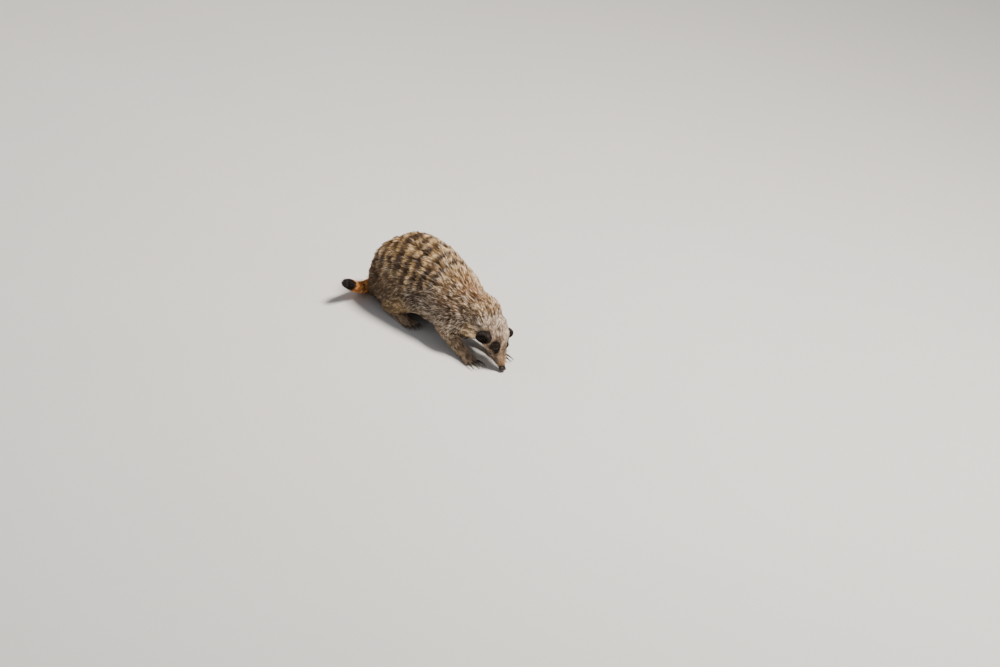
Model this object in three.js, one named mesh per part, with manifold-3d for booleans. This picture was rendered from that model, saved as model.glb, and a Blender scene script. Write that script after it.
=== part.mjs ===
// A meerkat at life size, foraging: the back arched, the head low and the nose at the ground.
// X points forwards along the body, Y to the animal's left and Z up. The floor is Z = 0 and
// sizes are in millimetres. Every size is taken over the coat, out to the tips of the hair.
import * as THREE from "three";
import { mergeVertices } from "three/addons/utils/BufferGeometryUtils.js";
import Module from "manifold-3d";

const wasm = await Module();
wasm.setup();

// ---- Driving dimensions -------------------------------------------------------------------

const GAP = 0.3; // between neighbouring pieces
const FAR = 400; // beyond the animal on every side
const BACK_HEIGHT = 109; // floor to the top of the arched loin
const BODY_WIDTH = 85; // across the flanks
const HEAD_LENGTH = 71; // nose to the back of the skull
const HEAD_WIDTH = 48; // across the cheeks
const HEAD_PITCH = 53; // degrees the face points below the horizon
const NOSE_AT = [150, 0, 5.6]; // middle of the nose pad
const EYE_DIAMETER = 10;
const EAR_HEIGHT = 24;
const EAR_WIDTH = 15;
const EAR_RIM = 1.6; // thickness of the ear's edge
const MOUTH_LENGTH = 25; // from the nose back to the corner of the mouth
const TOES = 4; // on each foot
const TOE_SPACING = 4.4;
const TOE_FAN = 9; // degrees between neighbouring toes
const HIND_TOE = 17; // length past the ball of the foot
const FORE_TOE = 12;
const HIND_CLAW = 8;
const FORE_CLAW = 15; // a long digging claw

// Joints of the legs on the left side, as the limb bends under its coat.
const HIP = [-75, 18, 38];
const KNEE = [16, 35.5, 45];
const HOCK = [-38, 28, 13];
const HIND_BALL = [2, 29, 4.4];
const SHOULDER = [92, 20, 54];
const ELBOW = [56, 31.5, 33];
const WRIST = [104, 26, 8];
const FORE_BALL = [113, 26, 4.4];
const LEG_INNER = 16; // the thigh begins this far from the midline
const ARM_INNER = 14;

// ---- Colours ------------------------------------------------------------------------------

const BACK_COAT = 0x8f7650;
const FLANK_COAT = 0xa08a68;
const NECK_COAT = 0xa39a88;
const FACE_COAT = 0xb8ac97;
const LEG_COAT = 0xa58f60;
const PAW_COAT = 0xb4a78f;
const TAIL_COAT = 0xb8843f;
const BLACK_HAIR = 0x2a2220;
const HORN = 0x3a302a;
const EYE_BROWN = 0x1c1310;
const NOSE_LEATHER = 0x33261f;

// ---- Solids -------------------------------------------------------------------------------

// A three.js geometry as a solid that can be joined and cut.
function solid(geometry) {
  const bare = geometry.clone();
  bare.deleteAttribute("normal");
  bare.deleteAttribute("uv");
  const merged = mergeVertices(bare, 1e-4);
  return new wasm.Manifold(
    new wasm.Mesh({
      numProp: 3,
      vertProperties: new Float32Array(merged.attributes.position.array),
      triVerts: new Uint32Array(merged.index.array),
    }),
  );
}

// The solid's surface as a three.js geometry.
function geometryOf(body) {
  const mesh = body.getMesh();
  const points = new Float32Array(mesh.numVert * 3);
  for (let i = 0; i < mesh.numVert; i++) {
    const at = i * mesh.numProp;
    points.set(mesh.vertProperties.subarray(at, at + 3), i * 3);
  }
  const geometry = new THREE.BufferGeometry();
  geometry.setAttribute("position", new THREE.BufferAttribute(points, 3));
  geometry.setIndex(new THREE.BufferAttribute(new Uint32Array(mesh.triVerts), 1));
  geometry.computeVertexNormals();
  return geometry;
}

// The one body that matters, where a cut leaves crumbs beside it.
function largest(body) {
  const bodies = body.decompose();
  return bodies.reduce((best, next) => (next.volume() > best.volume() ? next : best));
}

function joined(bodies) {
  return bodies.reduce((sum, next) => sum.add(next));
}

// A box from its lowest to its highest corner, in a frame of its own where one is given.
function box(low, high, place = new THREE.Matrix4()) {
  const size = high.map((v, i) => v - low[i]);
  const middle = high.map((v, i) => (v + low[i]) / 2);
  return solid(new THREE.BoxGeometry(...size).translate(...middle).applyMatrix4(place));
}

// All of space beyond a point, looking in the given direction.
function beyond(point, direction, grow = 0) {
  const out = new THREE.Vector3(...direction).normalize();
  const turn = new THREE.Quaternion().setFromUnitVectors(new THREE.Vector3(1, 0, 0), out);
  const place = new THREE.Matrix4().makeRotationFromQuaternion(turn).setPosition(...point);
  return box([-grow, -FAR, -FAR], [FAR, FAR, FAR], place);
}

// A rounded body through sections along a bent line. Each section has its place (at), its
// half width to the side, and how far it reaches up and down. The sections stand square to
// the line. All its sizes can be made a little larger, to cut room for it.
function loft(sections, rings, sides, grow = 0, upward = [0, 0, 1]) {
  const line = new THREE.CatmullRomCurve3(sections.map((s) => new THREE.Vector3(...s.at)));
  const sizes = new THREE.CatmullRomCurve3(
    sections.map((s) => new THREE.Vector3(s.side + grow, s.up + grow, s.down + grow)),
  );
  const lean = new THREE.Vector3(...upward);
  const points = [];
  const faces = [];
  for (let i = 0; i <= rings; i++) {
    const middle = line.getPoint(i / rings);
    const size = sizes.getPoint(i / rings);
    const along = line.getTangent(i / rings);
    const across = new THREE.Vector3().crossVectors(lean, along).normalize();
    const over = new THREE.Vector3().crossVectors(along, across);
    for (let j = 0; j < sides; j++) {
      const angle = (j / sides) * 2 * Math.PI;
      const reach = Math.sin(angle) * (Math.sin(angle) > 0 ? size.y : size.z);
      const point = middle.clone().addScaledVector(across, Math.cos(angle) * size.x);
      points.push(...point.addScaledVector(over, reach).toArray());
    }
  }
  for (let i = 0; i < rings; i++) {
    for (let j = 0; j < sides; j++) {
      const a = i * sides + j;
      const b = i * sides + ((j + 1) % sides);
      faces.push(a, b, a + sides, b, b + sides, a + sides);
    }
  }
  // Each end closes on a point a little beyond its last ring.
  for (const end of [0, 1]) {
    const out = line.getTangent(end).multiplyScalar(end ? 1 : -1);
    const size = sizes.getPoint(end);
    const reach = 0.35 * Math.min(size.x, size.y) + grow;
    const pole = points.length / 3;
    points.push(...line.getPoint(end).addScaledVector(out, reach).toArray());
    for (let j = 0; j < sides; j++) {
      const a = end * rings * sides + j;
      const b = end * rings * sides + ((j + 1) % sides);
      faces.push(...(end ? [a, b, pole] : [b, a, pole]));
    }
  }
  const geometry = new THREE.BufferGeometry();
  geometry.setAttribute("position", new THREE.Float32BufferAttribute(points, 3));
  geometry.setIndex(faces);
  return geometry;
}

function section(at, side, up, down = up) {
  return { at, side, up, down };
}

// A section on the straight line from one joint to the next, on the given side of the body.
function onBone(from, to, share, hand, side, up, down = up) {
  const at = from.map((v, i) => v + share * (to[i] - v));
  return section([at[0], hand * at[1], at[2]], side, up, down);
}

// ---- Head ---------------------------------------------------------------------------------

// The head is made level, with the nose pad at its origin, and then placed.
const headPlace = new THREE.Matrix4()
  .makeRotationY(THREE.MathUtils.degToRad(HEAD_PITCH))
  .setPosition(...NOSE_AT);

function inHead(x, y, z) {
  return new THREE.Vector3(x, y, z).applyMatrix4(headPlace);
}

const SKULL_END = -0.87 * HEAD_LENGTH; // where the head ends and the neck begins
const MUZZLE_END = -20;
const MOUTH_BELOW = 2.4; // the mouth line under the nose's middle
const EYE = [-27.5, 9.2, 6];
const EAR = [-42, 20, 0.5];

function skull() {
  const w = HEAD_WIDTH / 2;
  const atBack = (share) => [-share * HEAD_LENGTH, 0, 0];
  return solid(
    loft(
      [
        section(atBack(0), 3.6, 3.6, 3.4),
        section(atBack(0.05), 5.4, 5, 4.6),
        section(atBack(0.14), 8.2, 7, 8),
        section(atBack(0.26), 12, 9.6, 11),
        section(atBack(0.38), 16.4, 13.8, 12.6),
        section(atBack(0.5), 0.88 * w, 16.6, 15.6),
        section(atBack(0.65), 0.97 * w, 17.8, 20),
        section(atBack(0.8), 0.97 * w, 17.6, 25),
        section(atBack(0.95), 0.88 * w, 15.5, 26),
        section(atBack(1.1), 0.55 * w, 8, 16),
      ],
      13,
      16,
    ).applyMatrix4(headPlace),
  );
}

function ellipsoid(halfSizes, around, rings, grow = 0) {
  const ball = new THREE.SphereGeometry(1, around, rings);
  return ball.scale(...halfSizes.map((v) => v + grow));
}

function eyeball(hand, grow = 0) {
  const r = EYE_DIAMETER / 2;
  const ball = ellipsoid([r, r, r], 10, 6, grow).translate(EYE[0], hand * EYE[1], EYE[2]);
  return solid(ball.applyMatrix4(headPlace));
}

function nosePad(grow = 0) {
  const pad = ellipsoid([3.6, 5, 4.2], 10, 6, grow).translate(1.4, 0, 0.4);
  return solid(pad.applyMatrix4(headPlace));
}

// The ear is a low cup sunk in the side of the head. Its hollow faces out and forwards.
function earPlace(hand) {
  const turn = new THREE.Matrix4().makeRotationFromEuler(
    new THREE.Euler(0, THREE.MathUtils.degToRad(12), hand * THREE.MathUtils.degToRad(-24)),
  );
  turn.setPosition(EAR[0], hand * EAR[1], EAR[2]);
  return new THREE.Matrix4().multiplyMatrices(headPlace, turn);
}

function earOutside(hand, grow = 0) {
  const outside = ellipsoid([EAR_WIDTH / 2, 7, EAR_HEIGHT / 2], 10, 6, grow);
  return solid(outside.applyMatrix4(earPlace(hand)));
}

function ear(hand) {
  const hollow = ellipsoid([EAR_WIDTH / 2 - EAR_RIM, 5.6, EAR_HEIGHT / 2 - EAR_RIM], 10, 6);
  hollow.translate(0.6, hand * 4, 0).applyMatrix4(earPlace(hand));
  return earOutside(hand).subtract(solid(hollow));
}

// ---- Trunk and neck -----------------------------------------------------------------------

function trunkAndNeck(grow = 0) {
  const h = BACK_HEIGHT;
  const w = BODY_WIDTH / 2;
  const nape = inHead(-0.8 * HEAD_LENGTH, 0, -5).toArray();
  return solid(
    loft(
      [
        section([-80, 0, 39], 9, 10),
        section([-73, 0, 42], 0.61 * w, 25, 28),
        section([-54, 0, 52], 0.87 * w, 35, 39),
        section([-23, 0, 0.57 * h], w, 0.44 * h, 49),
        section([10, 0, 0.55 * h], w, 0.435 * h, 48),
        section([45, 0, 0.52 * h], 0.91 * w, 38.5, 45),
        section([73, 0, 49.5], 0.8 * w, 31, 37),
        section([95, 0, 51], 0.7 * w, 31, 33),
        section(nape, 0.56 * w, 24.5, 25),
      ],
      17,
      18,
      grow,
    ),
  );
}

// ---- Legs ---------------------------------------------------------------------------------

// The part of a limb outwards from a plane beside the midline.
function outwards(limb, hand, inner, grow) {
  return limb.intersect(beyond([0, hand * inner, 0], [0, hand, 0], grow));
}

function thigh(hand, grow = 0) {
  const at = (share, side, up, down) => onBone(HIP, KNEE, share, hand, side, up, down);
  const sections = [
    at(0, 8, 18, 18),
    at(0.16, 18, 27, 34),
    at(0.48, 18, 31, 36),
    at(0.82, 13, 21, 23),
    at(1, 7, 9, 10),
  ];
  return outwards(solid(loft(sections, 7, 12, grow)), hand, LEG_INNER, grow);
}

function shank(hand, grow = 0) {
  const at = (share, side, up, down) => onBone(KNEE, HOCK, share, hand, side, up, down);
  const sections = [
    at(0.05, 6, 7, 7),
    at(0.28, 13, 14, 19),
    at(0.6, 12.5, 14, 19),
    at(0.9, 10.5, 11, 13),
    at(1, 7, 7, 7),
  ];
  return solid(loft(sections, 5, 8, grow));
}

function heelAndSole(hand, grow = 0) {
  const at = (share, side, up, down) => onBone(HOCK, HIND_BALL, share, hand, side, up, down);
  const sections = [
    at(-0.02, 6, 6, 6),
    at(0.25, 8, 8.5, 10),
    at(0.7, 8, 7, 7.5),
    at(0.98, 9.4, 6, 6),
    at(1.12, 8.6, 5, 5),
  ];
  return solid(loft(sections, 5, 8, grow));
}

function upperArm(hand, grow = 0) {
  const at = (share, side, up, down) => onBone(SHOULDER, ELBOW, share, hand, side, up, down);
  const sections = [
    at(0, 8, 12, 12),
    at(0.33, 15, 20, 20),
    at(0.68, 13, 17, 17),
    at(1, 8, 10, 10),
  ];
  return outwards(solid(loft(sections, 6, 10, grow, [1, 0, 0])), hand, ARM_INNER, grow);
}

function forearm(hand, grow = 0) {
  const at = (share, side, up, down) => onBone(ELBOW, WRIST, share, hand, side, up, down);
  const sections = [
    at(0, 7, 8, 8),
    at(0.22, 10.5, 11, 11.5),
    at(0.6, 8.5, 9, 9.5),
    at(0.9, 7.5, 7.5, 7.5),
    at(1, 6, 6, 6),
  ];
  return solid(loft(sections, 5, 8, grow));
}

function palm(hand, grow = 0) {
  const at = (share, side, up, down) => onBone(WRIST, FORE_BALL, share, hand, side, up, down);
  const sections = [
    at(-0.7, 6.4, 6.4, 6.4),
    at(0.1, 7.8, 6.8, 6.8),
    at(0.9, 9.2, 6, 6),
    at(1.4, 8.2, 5, 5),
  ];
  return solid(loft(sections, 4, 8, grow));
}

// Where one toe starts, which way it points in the fan of toes, and how long it is.
function toeLine(ball, hand, index, reach) {
  const off = index - (TOES - 1) / 2;
  const turn = THREE.MathUtils.degToRad(off * TOE_FAN);
  return {
    root: new THREE.Vector3(ball[0], hand * ball[1] + off * TOE_SPACING, 0),
    out: new THREE.Vector3(Math.cos(turn), Math.sin(turn), 0),
    length: reach * (1 - 0.07 * off * off),
  };
}

// A toe swells a little at its pad, which meets the floor.
function toe({ root, out, length }) {
  const at = (share, z) => root.clone().addScaledVector(out, share * length).setZ(z).toArray();
  const sections = [
    section(at(0, 5.2), 2.8, 3.2, 5.4),
    section(at(0.6, 4.6), 2.7, 3, 4.9),
    section(at(1, 3.6), 1.9, 2, 2.6),
  ];
  return solid(loft(sections, 2, 6));
}

// A claw leaves the end of its toe, arches forwards and comes down just short of the floor.
function claw({ root, out, length }, clawLength, grow = 0) {
  const at = (reach, z) => {
    const place = root.clone().addScaledVector(out, length + reach);
    return place.setZ(z).toArray();
  };
  const sections = [
    section(at(-1.2, 4.4), 1.2, 1.5),
    section(at(0.4 * clawLength, 4.6), 1, 1.2),
    section(at(clawLength, 1.8), 0.4, 0.45),
  ];
  return solid(loft(sections, 3, 4, grow));
}

// ---- Tail ---------------------------------------------------------------------------------

// The tail sinks behind the rump, touches the floor and swings out to the right with its end
// raised. Each place along it has its radius.
const TAIL = [
  { at: [-62, 0, 46], r: 16 },
  { at: [-80, 5, 42], r: 12.8 },
  { at: [-91, 12, 33], r: 10.8 },
  { at: [-95, 13, 20.5], r: 9.4 },
  { at: [-89, 2, 10], r: 8.7 },
  { at: [-85, -15, 8.2], r: 8.3 },
  { at: [-81, -32, 11.5], r: 8 },
  { at: [-77, -48, 18], r: 7.8 },
  { at: [-74, -58, 22.8], r: 7.5 },
  { at: [-71, -69, 28], r: 7.2 },
  { at: [-66, -84, 35], r: 3.4 },
];
const SQUARE_TO_TAIL = [1, 0, -1]; // never runs along the tail, so its rings don't twist
const TAIL_BEND = TAIL[3];
const TAIL_BLACK = TAIL[8];

function tail() {
  const sections = TAIL.map(({ at, r }) => section(at, r, r));
  return solid(loft(sections, 18, 8, 0, SQUARE_TO_TAIL));
}

// ---- Assembly -----------------------------------------------------------------------------

const LOIN_START = -20;
const CHEST_START = 40;
const NECK_START = 84;
const THROAT_BELOW = 34; // how far the head's piece reaches under its own axis
const MUZZLE_BELOW = 14;

const meerkat = new THREE.Group();
const aboveFloor = box([-FAR, -FAR, 0], [FAR, FAR, FAR]);

function addPiece(name, body, colour, roughness = 0.9) {
  const material = new THREE.MeshStandardMaterial({ color: colour, roughness, metalness: 0 });
  const mesh = new THREE.Mesh(geometryOf(largest(body)), material);
  mesh.name = name;
  meerkat.add(mesh);
}

// A foot of one piece with its toes, cut flat at the floor, and its claws set in it.
function addFoot(name, sole, ball, hand, reach, clawLength) {
  const claws = [];
  const bodies = [sole];
  for (let i = 0; i < TOES; i++) {
    const line = toeLine(ball, hand, i, reach);
    bodies.push(toe(line));
    claws.push(claw(line, clawLength, GAP));
    addPiece(name + "_claw_" + (i + 1), claw(line, clawLength), HORN, 0.5);
  }
  addPiece(name, joined(bodies).intersect(aboveFloor).subtract(joined(claws)), PAW_COAT);
}

// Trunk, neck and head are one body, which leaves room for the legs. The tail meets the rump.
let flesh = trunkAndNeck().add(skull()).intersect(aboveFloor);
let tailFlesh = tail().intersect(aboveFloor).subtract(trunkAndNeck(GAP));

// On each side the foot keeps its whole shape, then the thigh or upper arm, and what lies
// between them fits in.
for (const { hand, side } of [{ hand: -1, side: "right" }, { hand: 1, side: "left" }]) {
  addFoot("hind_foot_" + side, heelAndSole(hand), HIND_BALL, hand, HIND_TOE, HIND_CLAW);
  addFoot("fore_paw_" + side, palm(hand), FORE_BALL, hand, FORE_TOE, FORE_CLAW);
  const limbs = [
    { name: "thigh_", shape: thigh, around: [heelAndSole], colour: LEG_COAT },
    { name: "shank_", shape: shank, around: [heelAndSole, thigh], colour: LEG_COAT },
    { name: "upper_arm_", shape: upperArm, around: [], colour: NECK_COAT },
    { name: "forearm_", shape: forearm, around: [palm, upperArm], colour: LEG_COAT },
  ];
  for (const { name, shape, around, colour } of limbs) {
    const room = around.map((neighbour) => neighbour(hand, GAP));
    const body = shape(hand).intersect(aboveFloor);
    addPiece(name + side, room.reduce((left, next) => left.subtract(next), body), colour);
  }
  for (const limb of [heelAndSole, palm, thigh, shank, upperArm, forearm]) {
    flesh = flesh.subtract(limb(hand, GAP));
    tailFlesh = tailFlesh.subtract(limb(hand, GAP));
  }
  flesh = flesh.subtract(eyeball(hand, GAP)).subtract(earOutside(hand, GAP));
  addPiece("eye_" + side, eyeball(hand), EYE_BROWN, 0.1);
  addPiece("ear_" + side, ear(hand), BLACK_HAIR);
}
flesh = flesh.subtract(nosePad(GAP));
addPiece("nose", nosePad(), NOSE_LEATHER, 0.5);

// Adds what lies inside a shape as one piece and gives back the rest, with the gap between. A
// shape is a function of how much larger it is made.
function carve(body, name, colour, shape) {
  addPiece(name, body.intersect(shape(0)), colour);
  return body.subtract(shape(GAP));
}

// All of the head past a place along it, down to a depth under its axis.
function headPast(start, below, top = FAR) {
  return (grow) => box([start - grow, -FAR, -below], [FAR, FAR, top + grow], headPlace);
}

// The end of the tail past one of its places, square to the tail there.
function tailPast(place) {
  const after = TAIL[TAIL.indexOf(place) + 1];
  const along = after.at.map((v, i) => v - place.at[i]);
  return (grow) => beyond(place.at, along, grow);
}

// All of the body past a place along it, where the cut may lean.
function bodyPast(place, direction) {
  return (grow) => beyond(place, direction, grow);
}

const headPieces = [
  ["lower_jaw", FACE_COAT, headPast(-MOUTH_LENGTH, MUZZLE_BELOW, -MOUTH_BELOW)],
  ["muzzle", FACE_COAT, headPast(MUZZLE_END, MUZZLE_BELOW)],
  ["head", FACE_COAT, headPast(SKULL_END, THROAT_BELOW)],
];
const trunkPieces = [
  ["neck", NECK_COAT, bodyPast([NECK_START, 0, 48], [0.95, 0, -0.3])],
  ["chest", FLANK_COAT, bodyPast([CHEST_START, 0, 50], [1, 0, 0])],
  ["loin", BACK_COAT, bodyPast([LOIN_START, 0, 50], [1, 0, 0])],
];
for (const [name, colour, shape] of [...headPieces, ...trunkPieces]) {
  flesh = carve(flesh, name, colour, shape);
}
addPiece("rump", flesh, BACK_COAT);

tailFlesh = carve(tailFlesh, "tail_tip", BLACK_HAIR, tailPast(TAIL_BLACK));
tailFlesh = carve(tailFlesh, "tail_middle", TAIL_COAT, tailPast(TAIL_BEND));
addPiece("tail_root", tailFlesh, TAIL_COAT);

// The origin lies on the floor, under the middle of the animal's box.
const middle = new THREE.Box3().setFromObject(meerkat, true).getCenter(new THREE.Vector3());
meerkat.position.set(-middle.x, -middle.y, 0);

export default meerkat;
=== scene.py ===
"""A meerkat at life size, foraging: one furred skin with its coat in locks, eyes with lids,
nose leather, ears, claws and whiskers. Lengths in the tables are millimetres from the
animal's own zero, which lies on the floor under the middle of the back."""

import math

import bpy
import numpy as np
from mathutils import Matrix, Vector, noise
from mathutils.bvhtree import BVHTree
from mathutils.kdtree import KDTree


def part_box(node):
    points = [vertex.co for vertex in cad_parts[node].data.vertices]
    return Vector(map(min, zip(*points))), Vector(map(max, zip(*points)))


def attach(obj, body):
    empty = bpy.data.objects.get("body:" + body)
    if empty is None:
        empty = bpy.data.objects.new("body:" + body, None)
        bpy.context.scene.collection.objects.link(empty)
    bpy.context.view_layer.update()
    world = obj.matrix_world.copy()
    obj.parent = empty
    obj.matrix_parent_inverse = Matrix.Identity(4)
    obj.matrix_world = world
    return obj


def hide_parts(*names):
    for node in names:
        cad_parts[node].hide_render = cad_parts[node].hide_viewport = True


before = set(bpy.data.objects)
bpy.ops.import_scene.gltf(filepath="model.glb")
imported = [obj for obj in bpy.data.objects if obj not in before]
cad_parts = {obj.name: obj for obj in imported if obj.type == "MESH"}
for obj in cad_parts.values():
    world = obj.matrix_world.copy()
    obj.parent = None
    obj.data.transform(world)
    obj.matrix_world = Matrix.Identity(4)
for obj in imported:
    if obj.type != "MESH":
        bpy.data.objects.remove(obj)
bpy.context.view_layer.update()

bl_info = {
    "name": "Meerkat",
    "version": (1, 0, 0),
    "blender": (4, 5, 0),
    "location": "View3D > Sidebar > Meerkat",
    "description": "Builds a still, life-size meerkat over its solid frame",
    "category": "Object",
}

# ---- Places -------------------------------------------------------------------------------

MM = 0.001
HANDS = {"right": -1, "left": 1}
HEAD_PITCH = math.radians(53)
HEAD_TURN = Matrix.Rotation(HEAD_PITCH, 3, "Y")
NOSE_AT = Vector((150, 0, 5.6))

# On the head, in its own axes: forwards from the nose, to the left and up.
EYE = Vector((-27.5, 9.2, 6))
EYE_RADIUS = 5.0
EYE_OUT = Vector((0.54, 0.66, 0.53))  # the way that the left eye looks
EYE_CORNER = (1.0, 0.0, -0.35)  # the way from an eye to its inner corner
LID = 0.30  # a lid's thickness over the eyeball
LID_WIDTH = 0.86  # half the eye's opening, in radians seen from the eye's middle
LID_HEIGHTS = (0.66, 0.56)  # its upper and lower half
EAR = Vector((-42, 20, 0.5))
EAR_HALF = (7.5, 7.0, 12.0)
EAR_LEAN = math.radians(12)
EAR_FOLD = math.radians(24)
PAD = (1.4, 0.0, 0.4)  # the middle of the nose pad
PAD_HALF = (3.6, 5.1, 4.2)
MOUTH_BELOW = 2.4
MOUTH_BACK = -25.0
MOUTH_DIP = 1.3
MUZZLE_BACK = -36  # how far back the skin's mesh is finer
FACE_BACK = -60  # how far back the face is shaped
FACE_HALF = 30  # half the width of what is shaped there
FAR = 9.0  # stands for a measure well outside every soft edge


def from_head(x, y, z):
    """A point given along the muzzle, to the left and up, in the animal's millimetres."""
    return NOSE_AT + HEAD_TURN @ Vector((x, y, z))


def node_middle(name):
    low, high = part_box(name)
    return (Vector(low) + Vector(high)) / 2


# The animal's own zero in the frame, found from the middle between its eyes.
BETWEEN_EYES = (node_middle("eye_right") + node_middle("eye_left")) / 2
ZERO = BETWEEN_EYES / MM - from_head(EYE.x, 0, EYE.z)


def to_head(points):
    """Millimetre points as an array, seen in the head's own axes."""
    turn = np.array(HEAD_TURN)
    return (points - np.array(NOSE_AT)) @ turn


def metres(point):
    """A point of the animal's own millimetres in the frame's metres."""
    return (Vector(point) + ZERO) * MM


def millimetres(points):
    """An array of the frame's metres in the animal's own millimetres."""
    return np.asarray(points, float) / MM - np.array(ZERO)


def head_places(points):
    """An array of the frame's metres in the head's own axes and millimetres."""
    return to_head(millimetres(points))


def from_head_places(head):
    """The way back: an array in the head's own axes in the frame's metres."""
    return (head @ np.array(HEAD_TURN).T + np.array(NOSE_AT) + np.array(ZERO)) * MM


# ---- Coat table ---------------------------------------------------------------------------

# For each kind of node: length of the coat, how deep the skin lies under its tips, how thickly
# it is set, and which way it lies. Where no way is given it follows the spine towards the tail.
COAT = {
    "rump": (17.0, 8.0, 1.0, None),
    "loin": (17.0, 8.5, 1.0, None),
    "chest": (16.0, 8.0, 1.0, None),
    "neck": (12.5, 6.0, 1.15, None),
    "head": (6.0, 2.8, 2.1, None),
    "muzzle": (2.3, 0.9, 3.0, None),
    "lower_jaw": (2.6, 1.1, 2.4, None),
    "tail_root": (11.0, 4.6, 1.4, None),
    "tail_middle": (8.5, 3.0, 1.9, None),
    "tail_tip": (8.5, 3.0, 2.1, None),
    "thigh": (14.0, 6.5, 1.1, (-0.75, 0.0, -0.65)),
    "shank": (8.0, 4.0, 1.4, (-0.8, 0.0, -0.6)),
    "hind_foot": (2.6, 0.9, 1.9, (1.0, 0.0, -0.15)),
    "upper_arm": (11.5, 5.0, 1.2, (-0.7, 0.0, -0.7)),
    "forearm": (6.0, 2.8, 1.6, (0.85, 0.0, -0.5)),
    "fore_paw": (2.4, 0.9, 1.9, (1.0, 0.0, -0.2)),
}


def kind_of(node):
    """A node's name without its side."""
    return node.replace("_right", "").replace("_left", "")


FLESH = [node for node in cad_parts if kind_of(node) in COAT]

# The middle line from the nose to the rump, and that of the tail.
SPINE = [tuple(from_head(-x, 0, 0)) for x in (-2, 12, 26, 40, 54)] + [
    (106, 0, 58),
    (88, 0, 60),
    (66, 0, 62),
    (40, 0, 66),
    (10, 0, 68),
    (-23, 0, 66),
    (-54, 0, 58),
    (-72, 0, 48),
    (-90, 0, 32),
]
TAIL = [
    (-62, 0, 46),
    (-80, 5, 42),
    (-91, 12, 33),
    (-95, 13, 20.5),
    (-89, 2, 10),
    (-85, -15, 8.2),
    (-81, -32, 11.5),
    (-77, -48, 18),
    (-74, -58, 22.8),
    (-71, -69, 28),
    (-64, -89, 37),
]
TAIL_NODES = ("tail_root", "tail_middle", "tail_tip")
TAIL_END = 160.0  # millimetres along the tail's line to its end
STANDING_END = 12  # the length of the tail's end where the hair stands off like a brush


# ---- Settings shown to the user -----------------------------------------------------------


def length_setting(name, default, text):
    return bpy.props.FloatProperty(
        name=name, description=text, default=default * MM, min=0.0, unit="LENGTH"
    )


def colour_setting(name, default, text):
    return bpy.props.FloatVectorProperty(
        name=name, description=text, default=default, size=3, min=0, max=1, subtype="COLOR"
    )


class CoatSettings(bpy.types.PropertyGroup):
    """How the coat is made and coloured."""

    cell: length_setting("Skin cell", 1.3, "Size of the skin's mesh cells")
    width: length_setting("Lock width", 1.05, "Width of a lock of the long coat")
    locks: bpy.props.IntProperty(
        name="Locks", description="How many locks the whole coat has", default=106000, min=1000
    )
    ear_locks: bpy.props.IntProperty(
        name="Ear locks", description="How many short locks each ear has", default=3000, min=100
    )
    gold: colour_setting("Gold", (0.63, 0.395, 0.145), "Coat of the rump and back")
    cream: colour_setting("Cream", (0.86, 0.66, 0.39), "Pale bands and tips")
    band: colour_setting("Band", (0.066, 0.036, 0.023), "Dark bands of the back")
    grey: colour_setting("Grey", (0.128, 0.097, 0.073), "Grizzled coat of the flanks")
    frost: colour_setting("Frost", (0.72, 0.64, 0.55), "White tips on neck and head")
    face: colour_setting("Face", (0.29, 0.217, 0.155), "Short coat of the head")
    patch: colour_setting("Patch", (0.030, 0.018, 0.012), "Dark patch round the eye")
    haunch: colour_setting("Haunch", (0.135, 0.076, 0.023), "Coat of the hind legs")
    rust: colour_setting("Rust", (0.47, 0.21, 0.062), "Warm streak of the shoulder and muzzle")
    tail: colour_setting("Tail", (0.92, 0.46, 0.135), "Coat of the tail before its black end")
    paw: colour_setting("Paw", (0.33, 0.245, 0.17), "Short coat of the feet")
    black: colour_setting("Black", (0.018, 0.012, 0.010), "End of the tail and the ears")


class StageSettings(bpy.types.PropertyGroup):
    """The floor's colour and the lights' power."""

    floor: colour_setting("Floor", (0.62, 0.60, 0.57), "Colour of the floor")
    key: bpy.props.FloatProperty(
        name="Key light", description="Power of the large light", default=138.0, unit="POWER"
    )
    fill: bpy.props.FloatProperty(
        name="Fill light", description="Power of the second light", default=10.0, unit="POWER"
    )


# ---- Small helpers ------------------------------------------------------------------------


def only(piece):
    """Selects one object and nothing else."""
    bpy.ops.object.select_all(action="DESELECT")
    piece.select_set(True)
    bpy.context.view_layer.objects.active = piece


def finish_modifiers(piece):
    only(piece)
    for modifier in list(piece.modifiers):
        bpy.ops.object.modifier_apply(modifier=modifier.name)


def settle(piece):
    """Puts a piece's place, turn and size into its mesh."""
    only(piece)
    bpy.ops.object.transform_apply(location=True, rotation=True, scale=True)


def hand_in(piece, nodes, material):
    """Gives a finished piece its finish, sets it under the body's root and hides the nodes that it
    stands for.
    """
    piece.data.materials.clear()
    piece.data.materials.append(material)
    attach(piece, "root")
    if nodes:
        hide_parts(*nodes)


def new_piece(name, mesh):
    """A new object in the scene for a finished mesh."""
    piece = bpy.data.objects.new(name, mesh)
    bpy.context.scene.collection.objects.link(piece)
    return piece


def edit_all(piece):
    """Goes into edit mode with the whole piece selected."""
    only(piece)
    bpy.ops.object.mode_set(mode="EDIT")
    bpy.ops.mesh.select_all(action="SELECT")


def leave_edit():
    bpy.ops.object.mode_set(mode="OBJECT")


def pick_faces(piece, wanted):
    """Goes into edit mode with only the faces selected whose middles pass the test."""
    only(piece)
    mesh = piece.data
    middles = np.empty(len(mesh.polygons) * 3, np.float32)
    mesh.polygons.foreach_get("center", middles)
    bpy.ops.object.mode_set(mode="EDIT")
    bpy.ops.mesh.select_mode(type="FACE")
    bpy.ops.mesh.select_all(action="DESELECT")
    bpy.ops.object.mode_set(mode="OBJECT")
    mesh.polygons.foreach_set("select", wanted(middles.reshape(-1, 3).astype(float)))
    bpy.ops.object.mode_set(mode="EDIT")


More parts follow.
